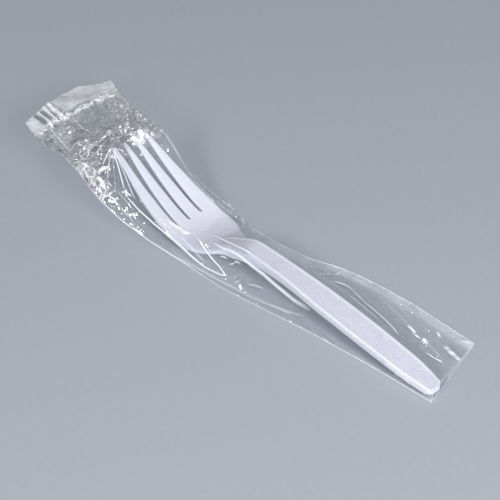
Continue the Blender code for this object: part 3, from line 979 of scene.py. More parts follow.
@dataclass(frozen=True)
class FilmForm:
    """The loose shape of the film tube round the fork, before its creases.

    Stations are lines along the fork, apart from seal_edge, which runs across the film.
    """

    left_edge: Stations = ((-2, 4.6), (5, 5.2), (20, 6.3), (40, 8.2), (57, 10.4), (72, 12.8),
                           (90, 15.6), (110, 16.6), (125, 18.4), (140, 21.8), (150, 22.8),
                           (161, 21.0), (168, 19.2), (175, 17.9), (180, 19.2), (190, 17.4), (200, 14.8))
    right_edge: Stations = ((-2, -28.0), (28, -28.0), (47, -27.0), (66, -23.8), (80, -18.8),
                            (100, -16.2), (118, -15.6), (134, -15.0), (145, -16.8), (157, -19.6),
                            (175, -21.0), (190, -24.4), (200, -27.8))
    underside: Stations = ((114, 0.0), (124, 0.7), (132, 3.0), (142, 7.0), (155, 12.4), (168, 14.0),
                           (200, 14.6))
    edge_rise: Stations = ((-2, 0.5), (60, 0.6), (110, 1.2), (140, 2.6), (155, 3.0), (170, 1.6),
                           (188, 0.5), (200, 0.2))
    ridge: Stations = ((-2, 4.0), (25, 7.3), (50, 10.0), (75, 12.0), (88, 12.3), (98, 10.6),
                       (107, 8.6), (115, 7.8), (124, 9.2), (138, 14.6), (150, 22.2), (156, 24.4),
                       (162, 22.6), (172, 18.6), (182, 16.4), (190, 15.4), (200, 15.0))
    slump: Stations = ((0, 1.9), (85, 1.7), (110, 1.25), (135, 1.0), (155, 0.9))
    hug: Stations = ((0, 0.1), (20, 0.15), (56, 0.25), (75, 0.25), (90, 0.15), (104, 0.0))
    hug_reach: float = 1.6
    handle_cut_left: float = -1.9
    handle_cut_right: float = 7.0
    seal_edge: Stations = ((0, 197.0), (0.17, 198.8), (0.22, 200.4), (0.32, 202.4), (0.45, 202.8),
                           (0.7, 201.6), (1, 199.2))
    tine_end: float = 199.0
    seal_arch: float = 0.8
    seal_band: float = 9.0
    pleats_right: Pair = (-0.8, 0.4)
    pleats_left: Pair = (10.2, 11.0)
    pleat_period: float = 3.1
    pleat_first: float = 1.3
    pleat_lean: float = 0.13
    pleat_height: float = 0.7
    wave_height: float = 0.3
    lying_height: float = 0.06
    layer_gap: float = 0.25
    fused_gap: float = 0.03

    def along(self, u: Array, share: Array) -> Array:
        """Slants the cut at the handle end and bows the trimmed edge of the seal.

        Args:
            u: Nominal place of the section.
            share: 0 at the right edge of the film, 1 at the left.

        Returns:
            The places along the fork.
        """
        cut = self.handle_cut(share) - self.handle_cut_left
        seal = through(self.seal_edge, share) - self.tine_end
        return u + cut * (1 - ease(self.handle_cut_left, 45.0, u)) + seal * ease(150.0, self.tine_end, u)

    def handle_cut(self, share: Array) -> Array:
        """Returns where the cut at the handle end lies, for a share across the film."""
        return mix(self.handle_cut_right, self.handle_cut_left, share)

    def base(self, u: Array, share: Array, fork: ForkForm) -> tuple[Array, Array, Array, Array]:
        """Works out where the two sheets lie.

        Over the fork the top sheet follows the ridge line. From there it slumps to the
        film's edges as a power of the distance left, and on the fork's left it first drops
        close beside the handle. Past the tips it is a flat pillow.

        Args:
            u: Nominal places of the sections, as a column.
            share: Places across, 0 to 1, as a row.
            fork: The fork inside.

        Returns:
            Places along and across, and the heights of the top and the under sheet.
        """
        left, right = through(self.left_edge, u), through(self.right_edge, u)
        v = mix(right, left, share)
        low = through(self.underside, u) + self.lying_height
        edge = low + through(self.edge_rise, u)
        ridge = through(self.ridge, u)
        half = np.minimum(fork.half_width(np.minimum(u, fork.length)) + 0.7, 0.8 * left)
        out = np.where(v > 0, (v - half) / (left - half), (-v - half) / (-right - half))
        beyond = np.maximum(np.abs(v) - half, 0.0)
        out = np.clip(out, 0.0, 1.0)
        hug = through(self.hug, u) * ease(-2.0, 2.0, v) * (1 - np.exp(-beyond / self.hug_reach))
        tent = mix(edge, ridge, (1 - out) ** through(self.slump, u) * (1 - hug))
        side = np.abs(2 * share - 1)
        pillow = mix(edge, ridge, 1 - side ** 2.2)
        top = mix(tent, pillow, ease(154, 168, u))
        under = mix(low, edge, (np.maximum(0.0, side - 0.7) / 0.3) ** 2)
        return self.along(u, share), v, top, under

    def pleated(self, v: Array) -> Array:
        """Returns 1 across the pleated part of the fused band, on its left, and 0 beside it."""
        return ease(*self.pleats_right, v) * (1 - ease(*self.pleats_left, v))

    def pleats(self, u: Array, v: Array) -> Array:
        """Returns the pleats across the fused band: 1 on a crest, 0 between two.

        The crests stand a period apart, lean with the distance along and waver by a sine.
        """
        phase = (v - self.pleat_first - self.pleat_lean * (201.0 - u)) / self.pleat_period
        phase = phase + 0.12 * np.sin(1.7 * v + 0.35 * u)
        crest = np.clip(1.25 - 4.2 * np.abs(phase - np.round(phase)), 0.0, 1.0)
        return crest * self.pleated(v)

    def flutes(self, u: Array, v: Array) -> Array:
        """Returns the lift of the fused band: its pleats and a slow wave."""
        slow = np.sin(v * 0.55 + 0.5) * np.sin(u * 0.5 + v * 0.2)
        return self.pleat_height * self.pleats(u, v) + self.wave_height * slow


# Most folds below carry a painted highlight along them (white) and painted shade beside it (dark), as well as
# their lift.
def tip_fan() -> list[Fold]:
    """Lists the folds that fan out from the left tine's tip, ridges and hollows in turn."""
    tip = (155.4, 8.3)
    ends = (((152.6, 16.6), 0.8), ((150.8, 15.4), 0.25), ((148.2, 17.6), 0.7), ((146.0, 15.0), 0.15),
            ((143.4, 17.6), 0.35), ((141.0, 14.9), 0.9), ((137.4, 16.4), 0.15), ((136.4, 13.8), 0.6),
            ((132.6, 13.2), 0.35))
    heights = (0.9, -0.7)
    return [
        Fold((tip, end), heights[k % 2], 0.9, white, 0.22, dark=0.5) for k, (end, white) in enumerate(ends)
    ]


def bowl_folds() -> list[Fold]:
    """Lists the long bent crease over the bowl, and the folds and painted glints at the neck."""
    return [
        Fold(((140, 15.3), (134, 15.3), (128, 14.7), (120.4, 14.3), (107, 14), (99.6, 13.7), (92.9, 12.7),
              (90.6, 11.9), (95, 11), (101, 10.6), (106, 10.2), (113, 8.6)), 1.0, 1.0, 1.0, 0.19, dark=0.4),
        Fold(((112, 8.8), (116, 8.9), (121.3, 9.8), (126.5, 11.8)), 0.3, 1.0, 1.0, 0.22, dark=0.3),
        Fold(((128, 11.6), (121, 12), (112, 12.6), (100, 12.4)), 0.3, 1.3, 0.4, 0.3),
        Fold(((123.4, 11), (118.6, 9.9), (112, 8.4)), 0.1, 1.5, 0.6, 0.55),
        Fold(((103, 7.9), (100, 7.4), (94.3, 6.3), (89, 6), (84.6, 6), (78, 5.9), (70, 6.2), (62, 6.4),
              (53, 6.3)), 0.15, 1.0, 1.0, 0.22, fade=14, dark=0.3),
        Fold(((107, 4.4), (103, 3.9), (99, 4.4), (95.6, 4.4), (92, 4.6), (88.8, 4.3), (85, 4)),
             0.5, 0.8, 1.0, 0.4, dark=0.6),
        Fold(((92.6, 8.9), (90.6, 8.2), (90.2, 7.4), (87.8, 7)), 0.3, 0.8, 0.6, 0.22, fade=1.5, dark=0.5),
        Fold(((97.4, 8.7), (93.6, 7.9)), 0.3, 0.8, 0.7, 0.2, fade=1.5, dark=0.5),
        Fold(((84.6, 10.9), (82.8, 11.8)), 0.3, 0.8, 1.0, 0.4, fade=0.8, dark=0.4),
        Fold(((82, 9.7), (78.6, 8.7), (74.8, 8)), 0.3, 0.9, 0.42, 0.26, fade=2.0, dark=0.5),
    ]


def handle_folds() -> list[Fold]:
    """Lists the folds and painted glints of the loose flap on the handle's right."""
    return [
        Fold(((60, -10.5), (54.8, -14), (43, -11), (33.5, -9.6), (24.5, -7.8)), 0.9, 1.1, 1.0, 0.3, dark=0.5),
        Fold(((57, -6.8), (51.2, -8.7), (41, -7.4), (33, -7)), 0.5, 0.9, 0.8, 0.26, dark=0.4),
        Fold(((56, -9), (48, -10.2), (38, -8.6)), -0.5, 1.1, 0.6, 0.24, dark=0.4),
        Fold(((64, -8), (64.6, -14), (64, -20.3), (59.5, -19.6)), 0.9, 1.1, 1.0, 0.26, dark=0.4),
        Fold(((45, -20), (24, -15.6), (7, -11.5)), 0.9, 1.5, 0.3),
        Fold(((40, -23), (12, -18.4), (5, -17.3)), -0.7, 1.6, 0.2),
        Fold(((62, -22.5), (8, -25)), 0.5, 1.8, 0.2),
        Fold(((27.8, -15.8), (22.8, -14.7)), 0.5, 1.0, 1.0, 0.5, fade=1.5, dark=0.5),
        Fold(((23.8, -14), (16.2, -13.2)), 0.5, 0.9, 1.0, 0.36, fade=1.5, dark=0.5),
        Fold(((19.9, -22.7), (16.7, -21.1)), 0.3, 0.8, 1.0, 0.36, fade=1.2),
        Fold(((13.9, -9.7), (10.1, -10.1), (6.7, -11)), 0.3, 0.8, 1.0, 0.36, fade=1.5, dark=0.4),
        Fold(((13, -18.7), (4.2, -17)), 0.5, 1.6, 1.0, 0.8, fade=1.5, dark=0.4),
        Fold(((11.4, -25), (7.2, -27.4)), 0.4, 1.2, 0.8, 0.5),
    ]


def edge_folds() -> list[Fold]:
    """Lists the folds along the film's two long edges, the left one broken up beside the tines."""
    return [
        Fold(((136, -12.5), (96, -9)), 0.9, 1.4, 0.15),
        Fold(((158, -17), (145, -14.6), (132, -13.4), (112, -13.6)), 0.9, 1.0, 0.8, 0.28),
        Fold(((150, -16.8), (138, -14.8), (124, -14.6)), -0.5, 0.8, 0.5, 0.28),
        Fold(((124, 18), (104, 15.4), (80, 12.4), (60, 8.6)), 0.7, 1.5, 0.4, 0.3),
        Fold(((118, 16), (92, 14), (70, 9.6)), -0.6, 1.6, 0.25, 0.4),
        Fold(((153.2, 19.6), (148.2, 18.2)), 0.9, 1.2, 1.0, 0.5, dark=0.9),
        Fold(((153.4, 17.8), (150.6, 13.4)), 0.8, 1.5, 1.0, 0.6, dark=0.9),
        Fold(((142.4, 22.3), (139.2, 21.5)), 0.4, 1.0, 1.0, 0.5),
        Fold(((157.4, 20.4), (151.4, 21.6)), 0.5, 1.0, 1.0, 0.3, dark=0.8),
        Fold(((163.4, 20.2), (159.6, 20.6)), 0.4, 0.9, 1.0, 0.45, dark=0.6),
        Fold(((172.4, 15), (168.4, 10.8)), 0.8, 1.3, 1.0, 0.5, dark=0.9),
        Fold(((160.2, 15), (158.8, 11.4)), 0.8, 1.2, 1.0, 0.45, dark=0.9),
    ]


def seal_folds() -> list[Fold]:
    """Lists the folds round the tips, in the panel past them and along the fused band."""
    return [
        Fold(((192.2, 14.8), (189, 14.6)), 0.2, 1.0, 1.0, 0.8, fade=1),
        Fold(((192.2, -5), (190.9, -11.5), (191, -18.2), (190.6, -24.5)), 0.3, 1.0, 0.8, 0.4, dark=0.4),
        Fold(((181.8, -21.4), (178.2, -20.4)), 0.3, 1.0, 1.0, 0.35),
        Fold(((153.5, 7.6), (151.6, 6.2), (150.6, 6.9)), 0.3, 0.8, 1.0, 0.22, dark=0.8),
        Fold(((142.6, 15.8), (138.7, 13.8)), 0.5, 1.0, 1.0, 0.32, dark=0.6),
        Fold(((141.6, 13.7), (139.7, 16)), 0.4, 0.9, 1.0, 0.28),
        Fold(((116.4, 10.3), (111, 7.5)), 0.3, 1.2, 1.0, 0.5, dark=0.3),
        Fold(((172.5, 2), (174.5, -4), (178.5, -10.5), (184, -12), (188.4, -7), (187.6, -1), (184, 1.6),
              (178, 3.2)), 0.25, 0.8, 0.3, 0.18),
        Fold(((165.4, 2.4), (162.7, -1.1), (157.6, 0.6), (157, 4)), 0.6, 1.0, 0.9, 0.24, dark=0.8),
        Fold(((157, -3.4), (151, -7)), 0.7, 1.5, 1.0, 0.6),
        Fold(((151, 0.4), (157, -2.2)), 0.7, 1.5, 1.0, 0.55),
        Fold(((150, -3), (156.4, -6)), 0.7, 1.5, 1.0, 0.5),
        Fold(((154.6, 1), (150.6, -4.8)), 0.6, 1.2, 1.0, 0.45),
        Fold(((157.4, -8.4), (153.4, -2.6)), 0.6, 1.2, 0.9, 0.4),
        Fold(((190, 10.8), (181, 13), (170.6, 15.8)), 0.5, 0.9, 0.8, 0.26),
        Fold(((190, 12.2), (181, 14.4), (171, 17)), -0.3, 0.8, 0.45, 0.24),
        Fold(((190, -0.5), (181, 2.8), (172.3, 4.4)), 0.6, 1.0, 0.7, 0.24, dark=0.6),
        Fold(((188.5, -17), (177.5, -11.5), (173.5, -3)), 0.5, 1.0, 0.4, 0.26),
        Fold(((157, 9.5), (166, 12.5), (174, 14)), 1.6, 2.8, 0.8, 0.22, dark=0.6),
        Fold(((157, 3.5), (168, 4), (177, 1.5)), 1.5, 2.8, 0.6, 0.22, dark=0.6),
        Fold(((157, -3), (166, -6.5), (173, -8.5)), 1.5, 2.8, 0.7, 0.22, dark=0.6),
        Fold(((157, -9), (166, -13), (176, -17)), 1.5, 2.8, 0.8, 0.22, dark=0.6),
        Fold(((163, 10), (161.5, 1), (163.5, -9)), 1.4, 2.6, 0.7, 0.22, dark=0.6),
        Fold(((169, 16), (171, 8), (170, -1), (171, -12)), 1.2, 2.4, 0.5, 0.22, dark=0.5),
    ]


def crumples() -> list[Crumple]:
    """Lists the crowds of small creases, by where the film puckers."""
    under = Sheet.UNDER
    return [
        Crumple((162, -3), (6, 13), 90, 60, 90, (2, 6), (0.5, 1.1), (0.15, 0.5), 0.9),
        Crumple((165, 12), (7, 6), 40, 60, 80, (2, 6), (0.5, 1.1), (0.15, 0.5), 1.1),
        Crumple((153, -3.2), (3.2, 4.2), 80, 50, 26, (1.5, 4.5), (0.7, 1.2), (0.4, 0.9), 1.6),
        Crumple((156, 20.2), (14, 2.6), 12, 30, 110, (2, 7), (0.6, 1.4), (0.35, 1.0), 1.1),
        Crumple((134, 18.6), (10, 2), 8, 14, 12, (6, 16), (0.9, 1.8), (0.2, 0.4), 0.5),
        Crumple((169, -16), (10, 5), 20, 50, 60, (3, 9), (0.6, 1.5), (0.2, 0.6), 0.6),
        Crumple((182, 13), (8, 6), 60, 60, 40, (1.5, 5), (0.5, 1.1), (0.15, 0.4), 0.5),
        Crumple((183, -19), (7, 4), 60, 60, 60, (1.5, 5), (0.5, 1.1), (0.15, 0.4), 0.8),
        Crumple((190.3, -4), (1.6, 24), 90, 30, 200, (1.5, 5), (0.5, 1.0), (0.15, 0.4), 1.9),
        Crumple((110, -14.4), (11, 2.6), 20, 60, 70, (2, 6), (0.5, 1.1), (0.15, 0.5), 0.8),
        Crumple((85, 11), (5, 2), 0, 50, 8, (1.5, 3), (0.6, 1.0), (0.2, 0.5), 1.0),
        Crumple((14, -15), (12, 7), 20, 50, 26, (3, 12), (0.7, 1.6), (0.15, 0.5), 0.4),
        Crumple((50, -18), (45, 9), 6, 16, 24, (8, 26), (0.9, 2.2), (0.12, 0.4), 0.3),
        Crumple((112, 0), (14, 12), 30, 60, 14, (6, 16), (1.0, 2.2), (0.15, 0.35), 0.15),
        Crumple((45, 8), (36, 2), 4, 10, 14, (6, 18), (0.6, 1.2), (0.12, 0.3), 0.4),
        Crumple((160, 4), (14, 18), 60, 60, 80, (4, 12), (0.9, 2.0), (0.3, 0.8), 0.4, under),
        Crumple((95, 8), (50, 9), 5, 25, 30, (6, 20), (0.9, 2.0), (0.15, 0.4), 0.2, under),
        Crumple((40, -14), (45, 12), 5, 30, 26, (6, 22), (0.9, 2.2), (0.12, 0.35), 0.2, under),
    ]


@dataclass(frozen=True)
class FilmWrapper:
    """The film tube with its folds, its crumples and its fused end.

    Attributes:
        form: The loose shape.
        fork: The fork inside, which the film clears.
        top_columns: Points across the top sheet.
        under_columns: Points across the under sheet.
        seed: Start of the random draws.
        clearance: Least gap between the fork and the film over it.
        cover_margin: How far past the fork's outline the film still clears it.
        hem: Share of each sheet's width over which its folds fade at the edges, top and under.
        under_rise: Where the under sheet leaves the floor and takes folds.
        under_folds: Share of their height that the under sheet's folds keep.
        fused_folds: The same for folds in the fused band.
        fused_start: Where the painted highlight and shade of the fused band's pleats begin.
        edge_line: Half the width of the painted highlight line along the film's edges.
        edge_highlight: Painted highlight of that line, left and right.
        edge_end: Where that line fades out.
        bend_white: Most painted highlight that a bend alone gives.
        bend_range: Bends in degrees between which it rises.
        pleat_highlight_and_shade: Most painted highlight on the pleats' crests, and painted shade between
            them.
        seal_milk: Milk in the fused band right of the pleats, and left of them.
        pleat_milk_and_highlight: Milk between two pleats, and on a crest, where it is partly painted
            highlight.
        inner_line: Milk and half width of the line along the fused band's inner side.
        strip_milk: Milk, distance from the edge and half width of a strip on the right.
        strip_end: Where that strip fades out.
        edge_milk_highlight: Milk and half width of both edges, a painted highlight along the folded edges.
        cut_milk: Milk of the cut at the handle end, and at the seal.
        cut_width: Half the width of those milky lines.
        plain_crinkle: How crumpled the plain film is.
        tips_crinkle: How crumpled it is past the tips.
        tips_start: Where that begins.
        tips_end: Where it ends, at the fused band.
        seal_crinkle: How crumpled the fused band is.
        milky: Spots where the film is milky; the one over the tips is a painted highlight for their glare.
        calm: Spots past the tips where it is not crumpled.
        crumpled: Spots elsewhere where it is.
        dotted: Spots with fine dots of painted sparkle.
    """

    form: FilmForm = field(default_factory=FilmForm)
    fork: ForkForm = field(default_factory=ForkForm)
    top_columns: int = 160
    under_columns: int = 34
    seed: int = 11
    clearance: float = 0.22
    cover_margin: float = 0.4
    hem: Pair = (0.04, 0.06)
    under_rise: Pair = (112.0, 128.0)
    under_folds: float = 0.8
    fused_folds: float = 0.35
    fused_start: Pair = (188.0, 190.5)
    edge_line: float = 0.22
    edge_highlight: Pair = (0.8, 0.6)
    edge_end: Pair = (180.0, 190.0)
    bend_white: float = 0.4
    bend_range: Pair = (30.0, 90.0)
    pleat_highlight_and_shade: Pair = (0.8, 0.7)
    seal_milk: Pair = (0.62, 0.92)
    pleat_milk_and_highlight: Pair = (0.1, 1.0)
    inner_line: Pair = (0.8, 0.8)
    strip_milk: tuple[float, float, float] = (0.5, 2.2, 1.8)
    strip_end: Pair = (84.0, 110.0)
    edge_milk_highlight: Pair = (0.9, 0.3)
    cut_milk: Pair = (0.8, 0.5)
    cut_width: float = 0.4
    plain_crinkle: float = 0.06
    tips_crinkle: float = 0.9
    tips_start: Pair = (148.0, 158.0)
    tips_end: Pair = (188.0, 192.0)
    seal_crinkle: float = 0.1
    # The spot over the tips, the second, is a painted highlight standing for the glare there.
    milky: tuple[Patch, ...] = (Patch((110, -13), (8, 3.5), 0.2), Patch((153, -3.5), (4.5, 4.5), 0.35),
                                Patch((116, 9.0), (7, 1.4), 0.4), Patch((190.8, 14.8), (2.4, 0.9), 1.5))
    calm: tuple[Patch, ...] = (Patch((181, -6), (8, 9), 0.9), Patch((183, 11), (6, 5), 0.6))
    crumpled: tuple[Patch, ...] = (Patch((155, 20.5), (13, 3.2), 0.9), Patch((110, -14.5), (9, 3), 0.8))
    dotted: tuple[Patch, ...] = (Patch((181, -8), (8, 10), 0.9), Patch((183, 11), (7, 4)),
                                 Patch((184, -19), (5, 5), 0.5))

    def rows(self) -> Array:
        """Returns the sections' nominal places, finest round the tips and the seal."""
        form = self.form
        return np.concatenate([
            np.linspace(form.handle_cut_left, 88.0, 150, endpoint=False),
            np.arange(88.0, 130.0, 0.38),
            np.linspace(130.0, form.tine_end, 215),
        ])

    def folds(self) -> list[Fold]:
        """Lists every fold: the pack's own, then the random crowds in their order."""
        folds = tip_fan() + bowl_folds() + handle_folds() + edge_folds() + seal_folds()
        random = np.random.default_rng(self.seed)
        for crumple in crumples():
            folds += crumple.draw(random)
        return folds

    def folded(self, u: Array, v: Array, sheet: Sheet, folds: list[Fold]) -> Array:
        """Adds up the lift of one sheet's folds and keeps the strongest painted highlight and painted shade.

        Args:
            u: Places along.
            v: Places across.
            sheet: The sheet to fold.
            folds: The folds of both sheets.

        Returns:
            The lift, the painted highlight and the painted shade at each place.
        """
        lift, white, dark = np.zeros((3, *np.broadcast_shapes(u.shape, v.shape)))
        for fold in folds:
            if fold.sheet is sheet:
                more, whiter, darker = fold.shape(u, v)
                lift += more
                white = np.maximum(white, whiter)
                dark = np.maximum(dark, darker)
        return np.stack([lift, white, dark])

    def tube(self) -> Array:
        """Works out both sheets and joins them into rings.

        Each sheet is its base with the folds on it. The top sheet is kept above the fork and
        above the under sheet, and the under sheet above the floor. In the fused band both
        come together half way between them, with the pleats. The two meet along both edges.

        Returns:
            Places along and across, height, painted highlight and painted shade: each an array
            with a row for each section, first across the top sheet and then back below it.
        """
        form = self.form
        u = self.rows()[:, None]
        top_share = np.linspace(0, 1, self.top_columns)[None, :]
        under_share = np.linspace(0, 1, self.under_columns)[None, :]
        top_u, top_v, top, floor = form.base(u, top_share, self.fork)
        under_u, under_v, _, under = form.base(u, under_share, self.fork)
        folds = self.folds()
        top_lift, *top_marks = self.folded(top_u, top_v, Sheet.TOP, folds)
        under_lift, *under_marks = self.folded(under_u, under_v, Sheet.UNDER, folds)

        inside = np.clip(np.minimum(top_share, 1 - top_share) / self.hem[0], 0.0, 1.0)
        under_inside = np.clip(np.minimum(under_share, 1 - under_share) / self.hem[1], 0.0, 1.0)
        fork_top = self.fork.cover(top_u, top_v, self.cover_margin) + self.clearance
        top = np.maximum(top + top_lift * inside, fork_top)
        top = np.maximum(top, floor + form.layer_gap * inside)
        raised = under_lift * under_inside * ease(*self.under_rise, u) * self.under_folds
        under = np.maximum(under + raised, form.lying_height)

        seal_start = form.tine_end - form.seal_band
        loose = 1 - ease(seal_start - 2.0, seal_start, u)
        band = (through(form.underside, u) + through(form.ridge, u)) / 2
        band = band + form.seal_arch * (1 - (2 * top_share - 1) ** 2) + form.flutes(top_u, top_v)
        band = band + self.fused_folds * top_lift
        under_band = np.array([np.interp(under_share[0], top_share[0], row) for row in band])
        top = mix(band + form.fused_gap, top, loose)
        under = mix(under_band - form.fused_gap, under, loose)
        top[:, [0, -1]] = (top[:, [0, -1]] + under[:, [0, -1]]) / 2
        over = np.stack([top_u, top_v, top, *top_marks])
        below = np.stack([under_u, under_v, under, *under_marks])
        return np.concatenate([over, below[:, :, -2:0:-1]], axis=2)

    def build(self, frame: PackFrame, film: bpy.types.Material) -> bpy.types.Object:
        """Builds the tube and stores what its material reads.

        Args:
            frame: Where the pack lies.
            film: Its material.

        Returns:
            The finished piece.
        """
        form = self.form
        u, v, z, white, dark = self.tube()
        points = np.stack([u, v, z], -1)
        made = mesh_object("film_sleeve", frame.place(points.reshape(-1, 3)), grid_quads(*z.shape, wrap=True))
        made.data.materials.append(film)

        fused = ease(*self.fused_start, u)
        pleats = form.pleats(u, v)
        # Painted highlight on the pleats' crests and painted shade between them.
        white = np.maximum(white, self.pleat_highlight_and_shade[0] * fused * pleats ** 2)
        dark = np.maximum(dark, self.pleat_highlight_and_shade[1] * fused * form.pleated(v) * (1 - pleats))
        left, right = through(form.left_edge, u), through(form.right_edge, u)
        # Painted highlight line along both edges of the film.
        rim = self.edge_highlight[0] * bell(left - v, self.edge_line)
        rim = rim + self.edge_highlight[1] * bell(v - right, self.edge_line)
        white = np.maximum(white, rim * (1 - ease(*self.edge_end, u)))
        point_values(made, "haze", self.haze(u, v))
        # Painted highlight, partly whitened strained film, also where the film bends sharply.
        point_values(made, "strain_white_and_highlight", np.maximum(white, self.bend_white * self.bends(points)))
        # Painted shade beside the highlight lines and between the pleats.
        point_values(made, "dark", dark)
        point_values(made, "crinkle", self.crinkle(u, v))
        # Where the painted sparkle dots lie.
        dots = sum(patch.over(u, v) for patch in self.dotted)
        point_values(made, "dotted", np.clip(dots, 0.0, 1.0))
        return made

    def haze(self, u: Array, v: Array) -> Array:
        """Returns the milkiness: the fused band, its inner line, both edges and cuts, and spots. Along both
        edges, on the pleats' crests and in the spot over the tips it is painted highlight.
        """
        form = self.form
        left, right = through(form.left_edge, u), through(form.right_edge, u)
        share = (v - right) / (left - right)
        bowed = form.along(form.tine_end + 0 * u, share) - u
        band = 1 - ease(form.seal_band - 1.6, form.seal_band + 0.6, bowed)
        smooth = mix(*self.seal_milk, ease(*form.pleats_left, v))
        # Pleat crests get more milk than the gaps: partly painted highlight.
        band = band * mix(smooth, mix(*self.pleat_milk_and_highlight, form.pleats(u, v)), form.pleated(v))
        line = self.inner_line[0] * bell(bowed - form.seal_band + 0.2, self.inner_line[1])
        milk, inset, width = self.strip_milk
        strip = milk * bell(v - right - inset, width) * (1 - ease(*self.strip_end, u))
        # Painted highlight: milk along both folded edges.
        milk, width = self.edge_milk_highlight
        edges = milk * (bell(left - v, width) + 0.7 * bell(v - right, width)) * (1 - ease(*self.edge_end, u))
        cuts = self.cut_milk[0] * bell(u - form.handle_cut(share), self.cut_width)
        cuts = cuts + self.cut_milk[1] * bell(bowed, self.cut_width)
        spots = sum(patch.over(u, v) for patch in self.milky)
        return np.clip(band + line + strip + edges + cuts + spots, 0.0, 1.0)

    def bends(self, points: Array) -> Array:
        """Returns how sharply the film is bent, the more of both directions of the grid, 0 to 1."""
        bend = np.zeros(points.shape[:2])
        for axis in (0, 1):
            before = np.roll(points, 1, axis) - points
            after = np.roll(points, -1, axis) - points
            before /= np.maximum(np.linalg.norm(before, axis=-1, keepdims=True), 1e-6)
            after /= np.maximum(np.linalg.norm(after, axis=-1, keepdims=True), 1e-6)
            turn = np.degrees(np.arccos(np.clip(-(before * after).sum(-1), -1.0, 1.0)))
            if axis == 0:
                turn[[0, -1]] = 0.0
            bend = np.maximum(bend, turn)
        mild, sharp = self.bend_range
        return np.clip((bend - mild) / (sharp - mild), 0.0, 1.0)

    def crinkle(self, u: Array, v: Array) -> Array:
        """Returns where the film is finely crumpled: past the tips, but not in its calm middle."""
        calm = np.maximum(*(patch.over(u, v) for patch in self.calm))
        past_tips = ease(*self.tips_start, u) * (1 - ease(*self.tips_end, u)) * (1 - calm)
        crinkle = self.plain_crinkle + self.tips_crinkle * past_tips
        crinkle = crinkle + self.seal_crinkle * ease(190, 192, u)
        return np.clip(crinkle + sum(patch.over(u, v) for patch in self.crumpled), 0.0, 1.0)


@dataclass(frozen=True)
class SoftLamp:
    """A rectangular soft lamp that faces the fork.

    Attributes:
        name: The lamp's name.
        azimuth: Its direction round the aim, in degrees from the fork's length.
        elevation: Degrees above the floor.
        size: Width and height in metres.
        power: Watts.
        distance: Metres from the aim.
    """

    name: str
    azimuth: float
    elevation: float
    size: Pair
    power: float
    distance: float = 1.2

    def light(self) -> bpy.types.Light:
        """Makes the light."""
        light = bpy.data.lights.new(self.name, "AREA")
        light.shape = "RECTANGLE"
        light.size, light.size_y = self.size
        light.energy = self.power
        return light


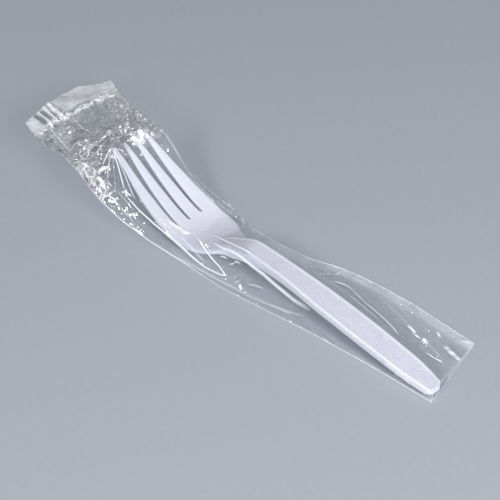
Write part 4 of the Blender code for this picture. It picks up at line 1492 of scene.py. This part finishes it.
@dataclass(frozen=True)
class Studio:
    """A pale floor, three soft lamps, an even surround and the camera.

    Attributes:
        aim: Where the camera looks, in the fork's millimetres.
        elevation: Degrees of the camera above the floor.
        azimuth: Direction of the camera round the aim, in degrees from the fork's length.
        distance: Millimetres from the aim to the camera.
        pixels_per_mm: Image pixels that a millimetre at the aim fills.
        floor_side: Side of the square floor, in metres.
        lamps: The soft lamps.
        surround_colour: Colour of the light from all round.
        surround_strength: Its strength.
    """

    aim: tuple[float, float, float] = (97.5, -7.0, 0.0)
    elevation: float = 40.9
    azimuth: float = 135.7
    distance: float = 710.5
    pixels_per_mm: float = 2.7164
    floor_side: float = 6.0
    lamps: tuple[SoftLamp, ...] = (
        SoftLamp("key", 168.0, 32.0, (0.45, 0.36), 11.0),
        SoftLamp("side", 104.0, 32.0, (0.22, 0.22), 4.5),
        SoftLamp("high", 30.0, 72.0, (0.14, 0.14), 1.2),
    )
    surround_colour: Colour = (0.93, 0.95, 1.0)
    surround_strength: float = 0.24

    def stand(self, frame: PackFrame, data: bpy.types.ID, azimuth: float, elevation: float,
              distance: float) -> bpy.types.Object:
        """Stands the camera or a lamp round the aim, facing it.

        Args:
            frame: Where the fork lies.
            data: The camera or light.
            azimuth: Direction round the aim, in degrees from the fork's length.
            elevation: Degrees above the floor.
            distance: Metres from the aim.

        Returns:
            The linked object.
        """
        a, e = math.radians(azimuth), math.radians(elevation)
        away = Vector((math.cos(e) * math.cos(a), math.cos(e) * math.sin(a), math.sin(e)))
        made = bpy.data.objects.new(data.name, data)
        made.location = Vector(frame.place(np.array(self.aim)).tolist()) + away * distance
        made.rotation_euler = (-away).to_track_quat("-Z", "Y").to_euler()
        bpy.context.collection.objects.link(made)
        return made

    def camera(self, frame: PackFrame) -> None:
        """Makes the camera at the photograph's viewing angle and hands it to the scene."""
        data = bpy.data.cameras.new("camera")
        data.sensor_width = SENSOR_WIDTH
        data.lens = self.pixels_per_mm * self.distance / IMAGE_SIDE * SENSOR_WIDTH
        data.clip_start = 0.02
        data.clip_end = 30.0
        made = self.stand(frame, data, self.azimuth, self.elevation, self.distance * MM)
        bpy.context.scene.camera = made

    def surround(self) -> None:
        """Lights the scene evenly from all round."""
        world = bpy.data.worlds.new("studio")
        world.use_nodes = True
        world.node_tree.nodes.clear()
        sheet = NodeSheet(world.node_tree)
        settings = {"Color": (*self.surround_colour, 1.0), "Strength": self.surround_strength}
        light = sheet.add("ShaderNodeBackground", settings)
        sheet.add("ShaderNodeOutputWorld", {"Surface": light.outputs[0]})
        bpy.context.scene.world = world

    def floor(self, material: bpy.types.Material) -> bpy.types.Object:
        """Lays the floor as a flat grid."""
        place = np.linspace(-self.floor_side / 2, self.floor_side / 2, 9)
        x, y = np.meshgrid(place, place, indexing="ij")
        points = np.stack([x, y, np.zeros_like(x)], -1).reshape(-1, 3)
        made = mesh_object("floor", points, grid_quads(*x.shape))
        made.data.materials.append(material)
        return made

    def build(self, frame: PackFrame, grain: FineGrain) -> None:
        """Sets up the floor, the lamps, the surround and the camera."""
        self.floor(PaleFloor().build(grain))
        for lamp in self.lamps:
            self.stand(frame, lamp.light(), lamp.azimuth, lamp.elevation, lamp.distance)
        self.surround()
        self.camera(frame)
        bpy.context.scene.view_settings.view_transform = "Standard"


def main() -> None:
    """Builds the studio and both pieces."""
    logging.basicConfig(level=logging.INFO, format="%(name)s: %(message)s")
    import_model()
    frame = PackFrame.from_fork_box()
    grain = FineGrain.build()
    Studio().build(frame, grain)

    fork = Fork().build(frame, WhitePlastic().build(grain))
    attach(fork, "root")
    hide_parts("fork")
    log.info("fork: %d faces", len(fork.data.polygons))

    sleeve = FilmWrapper().build(frame, ClearFilm().build())
    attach(sleeve, "root")
    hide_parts("wrapper")
    log.info("film sleeve: %d faces", len(sleeve.data.polygons))

    log.info("size written")


if __name__ == "__main__":
    main()
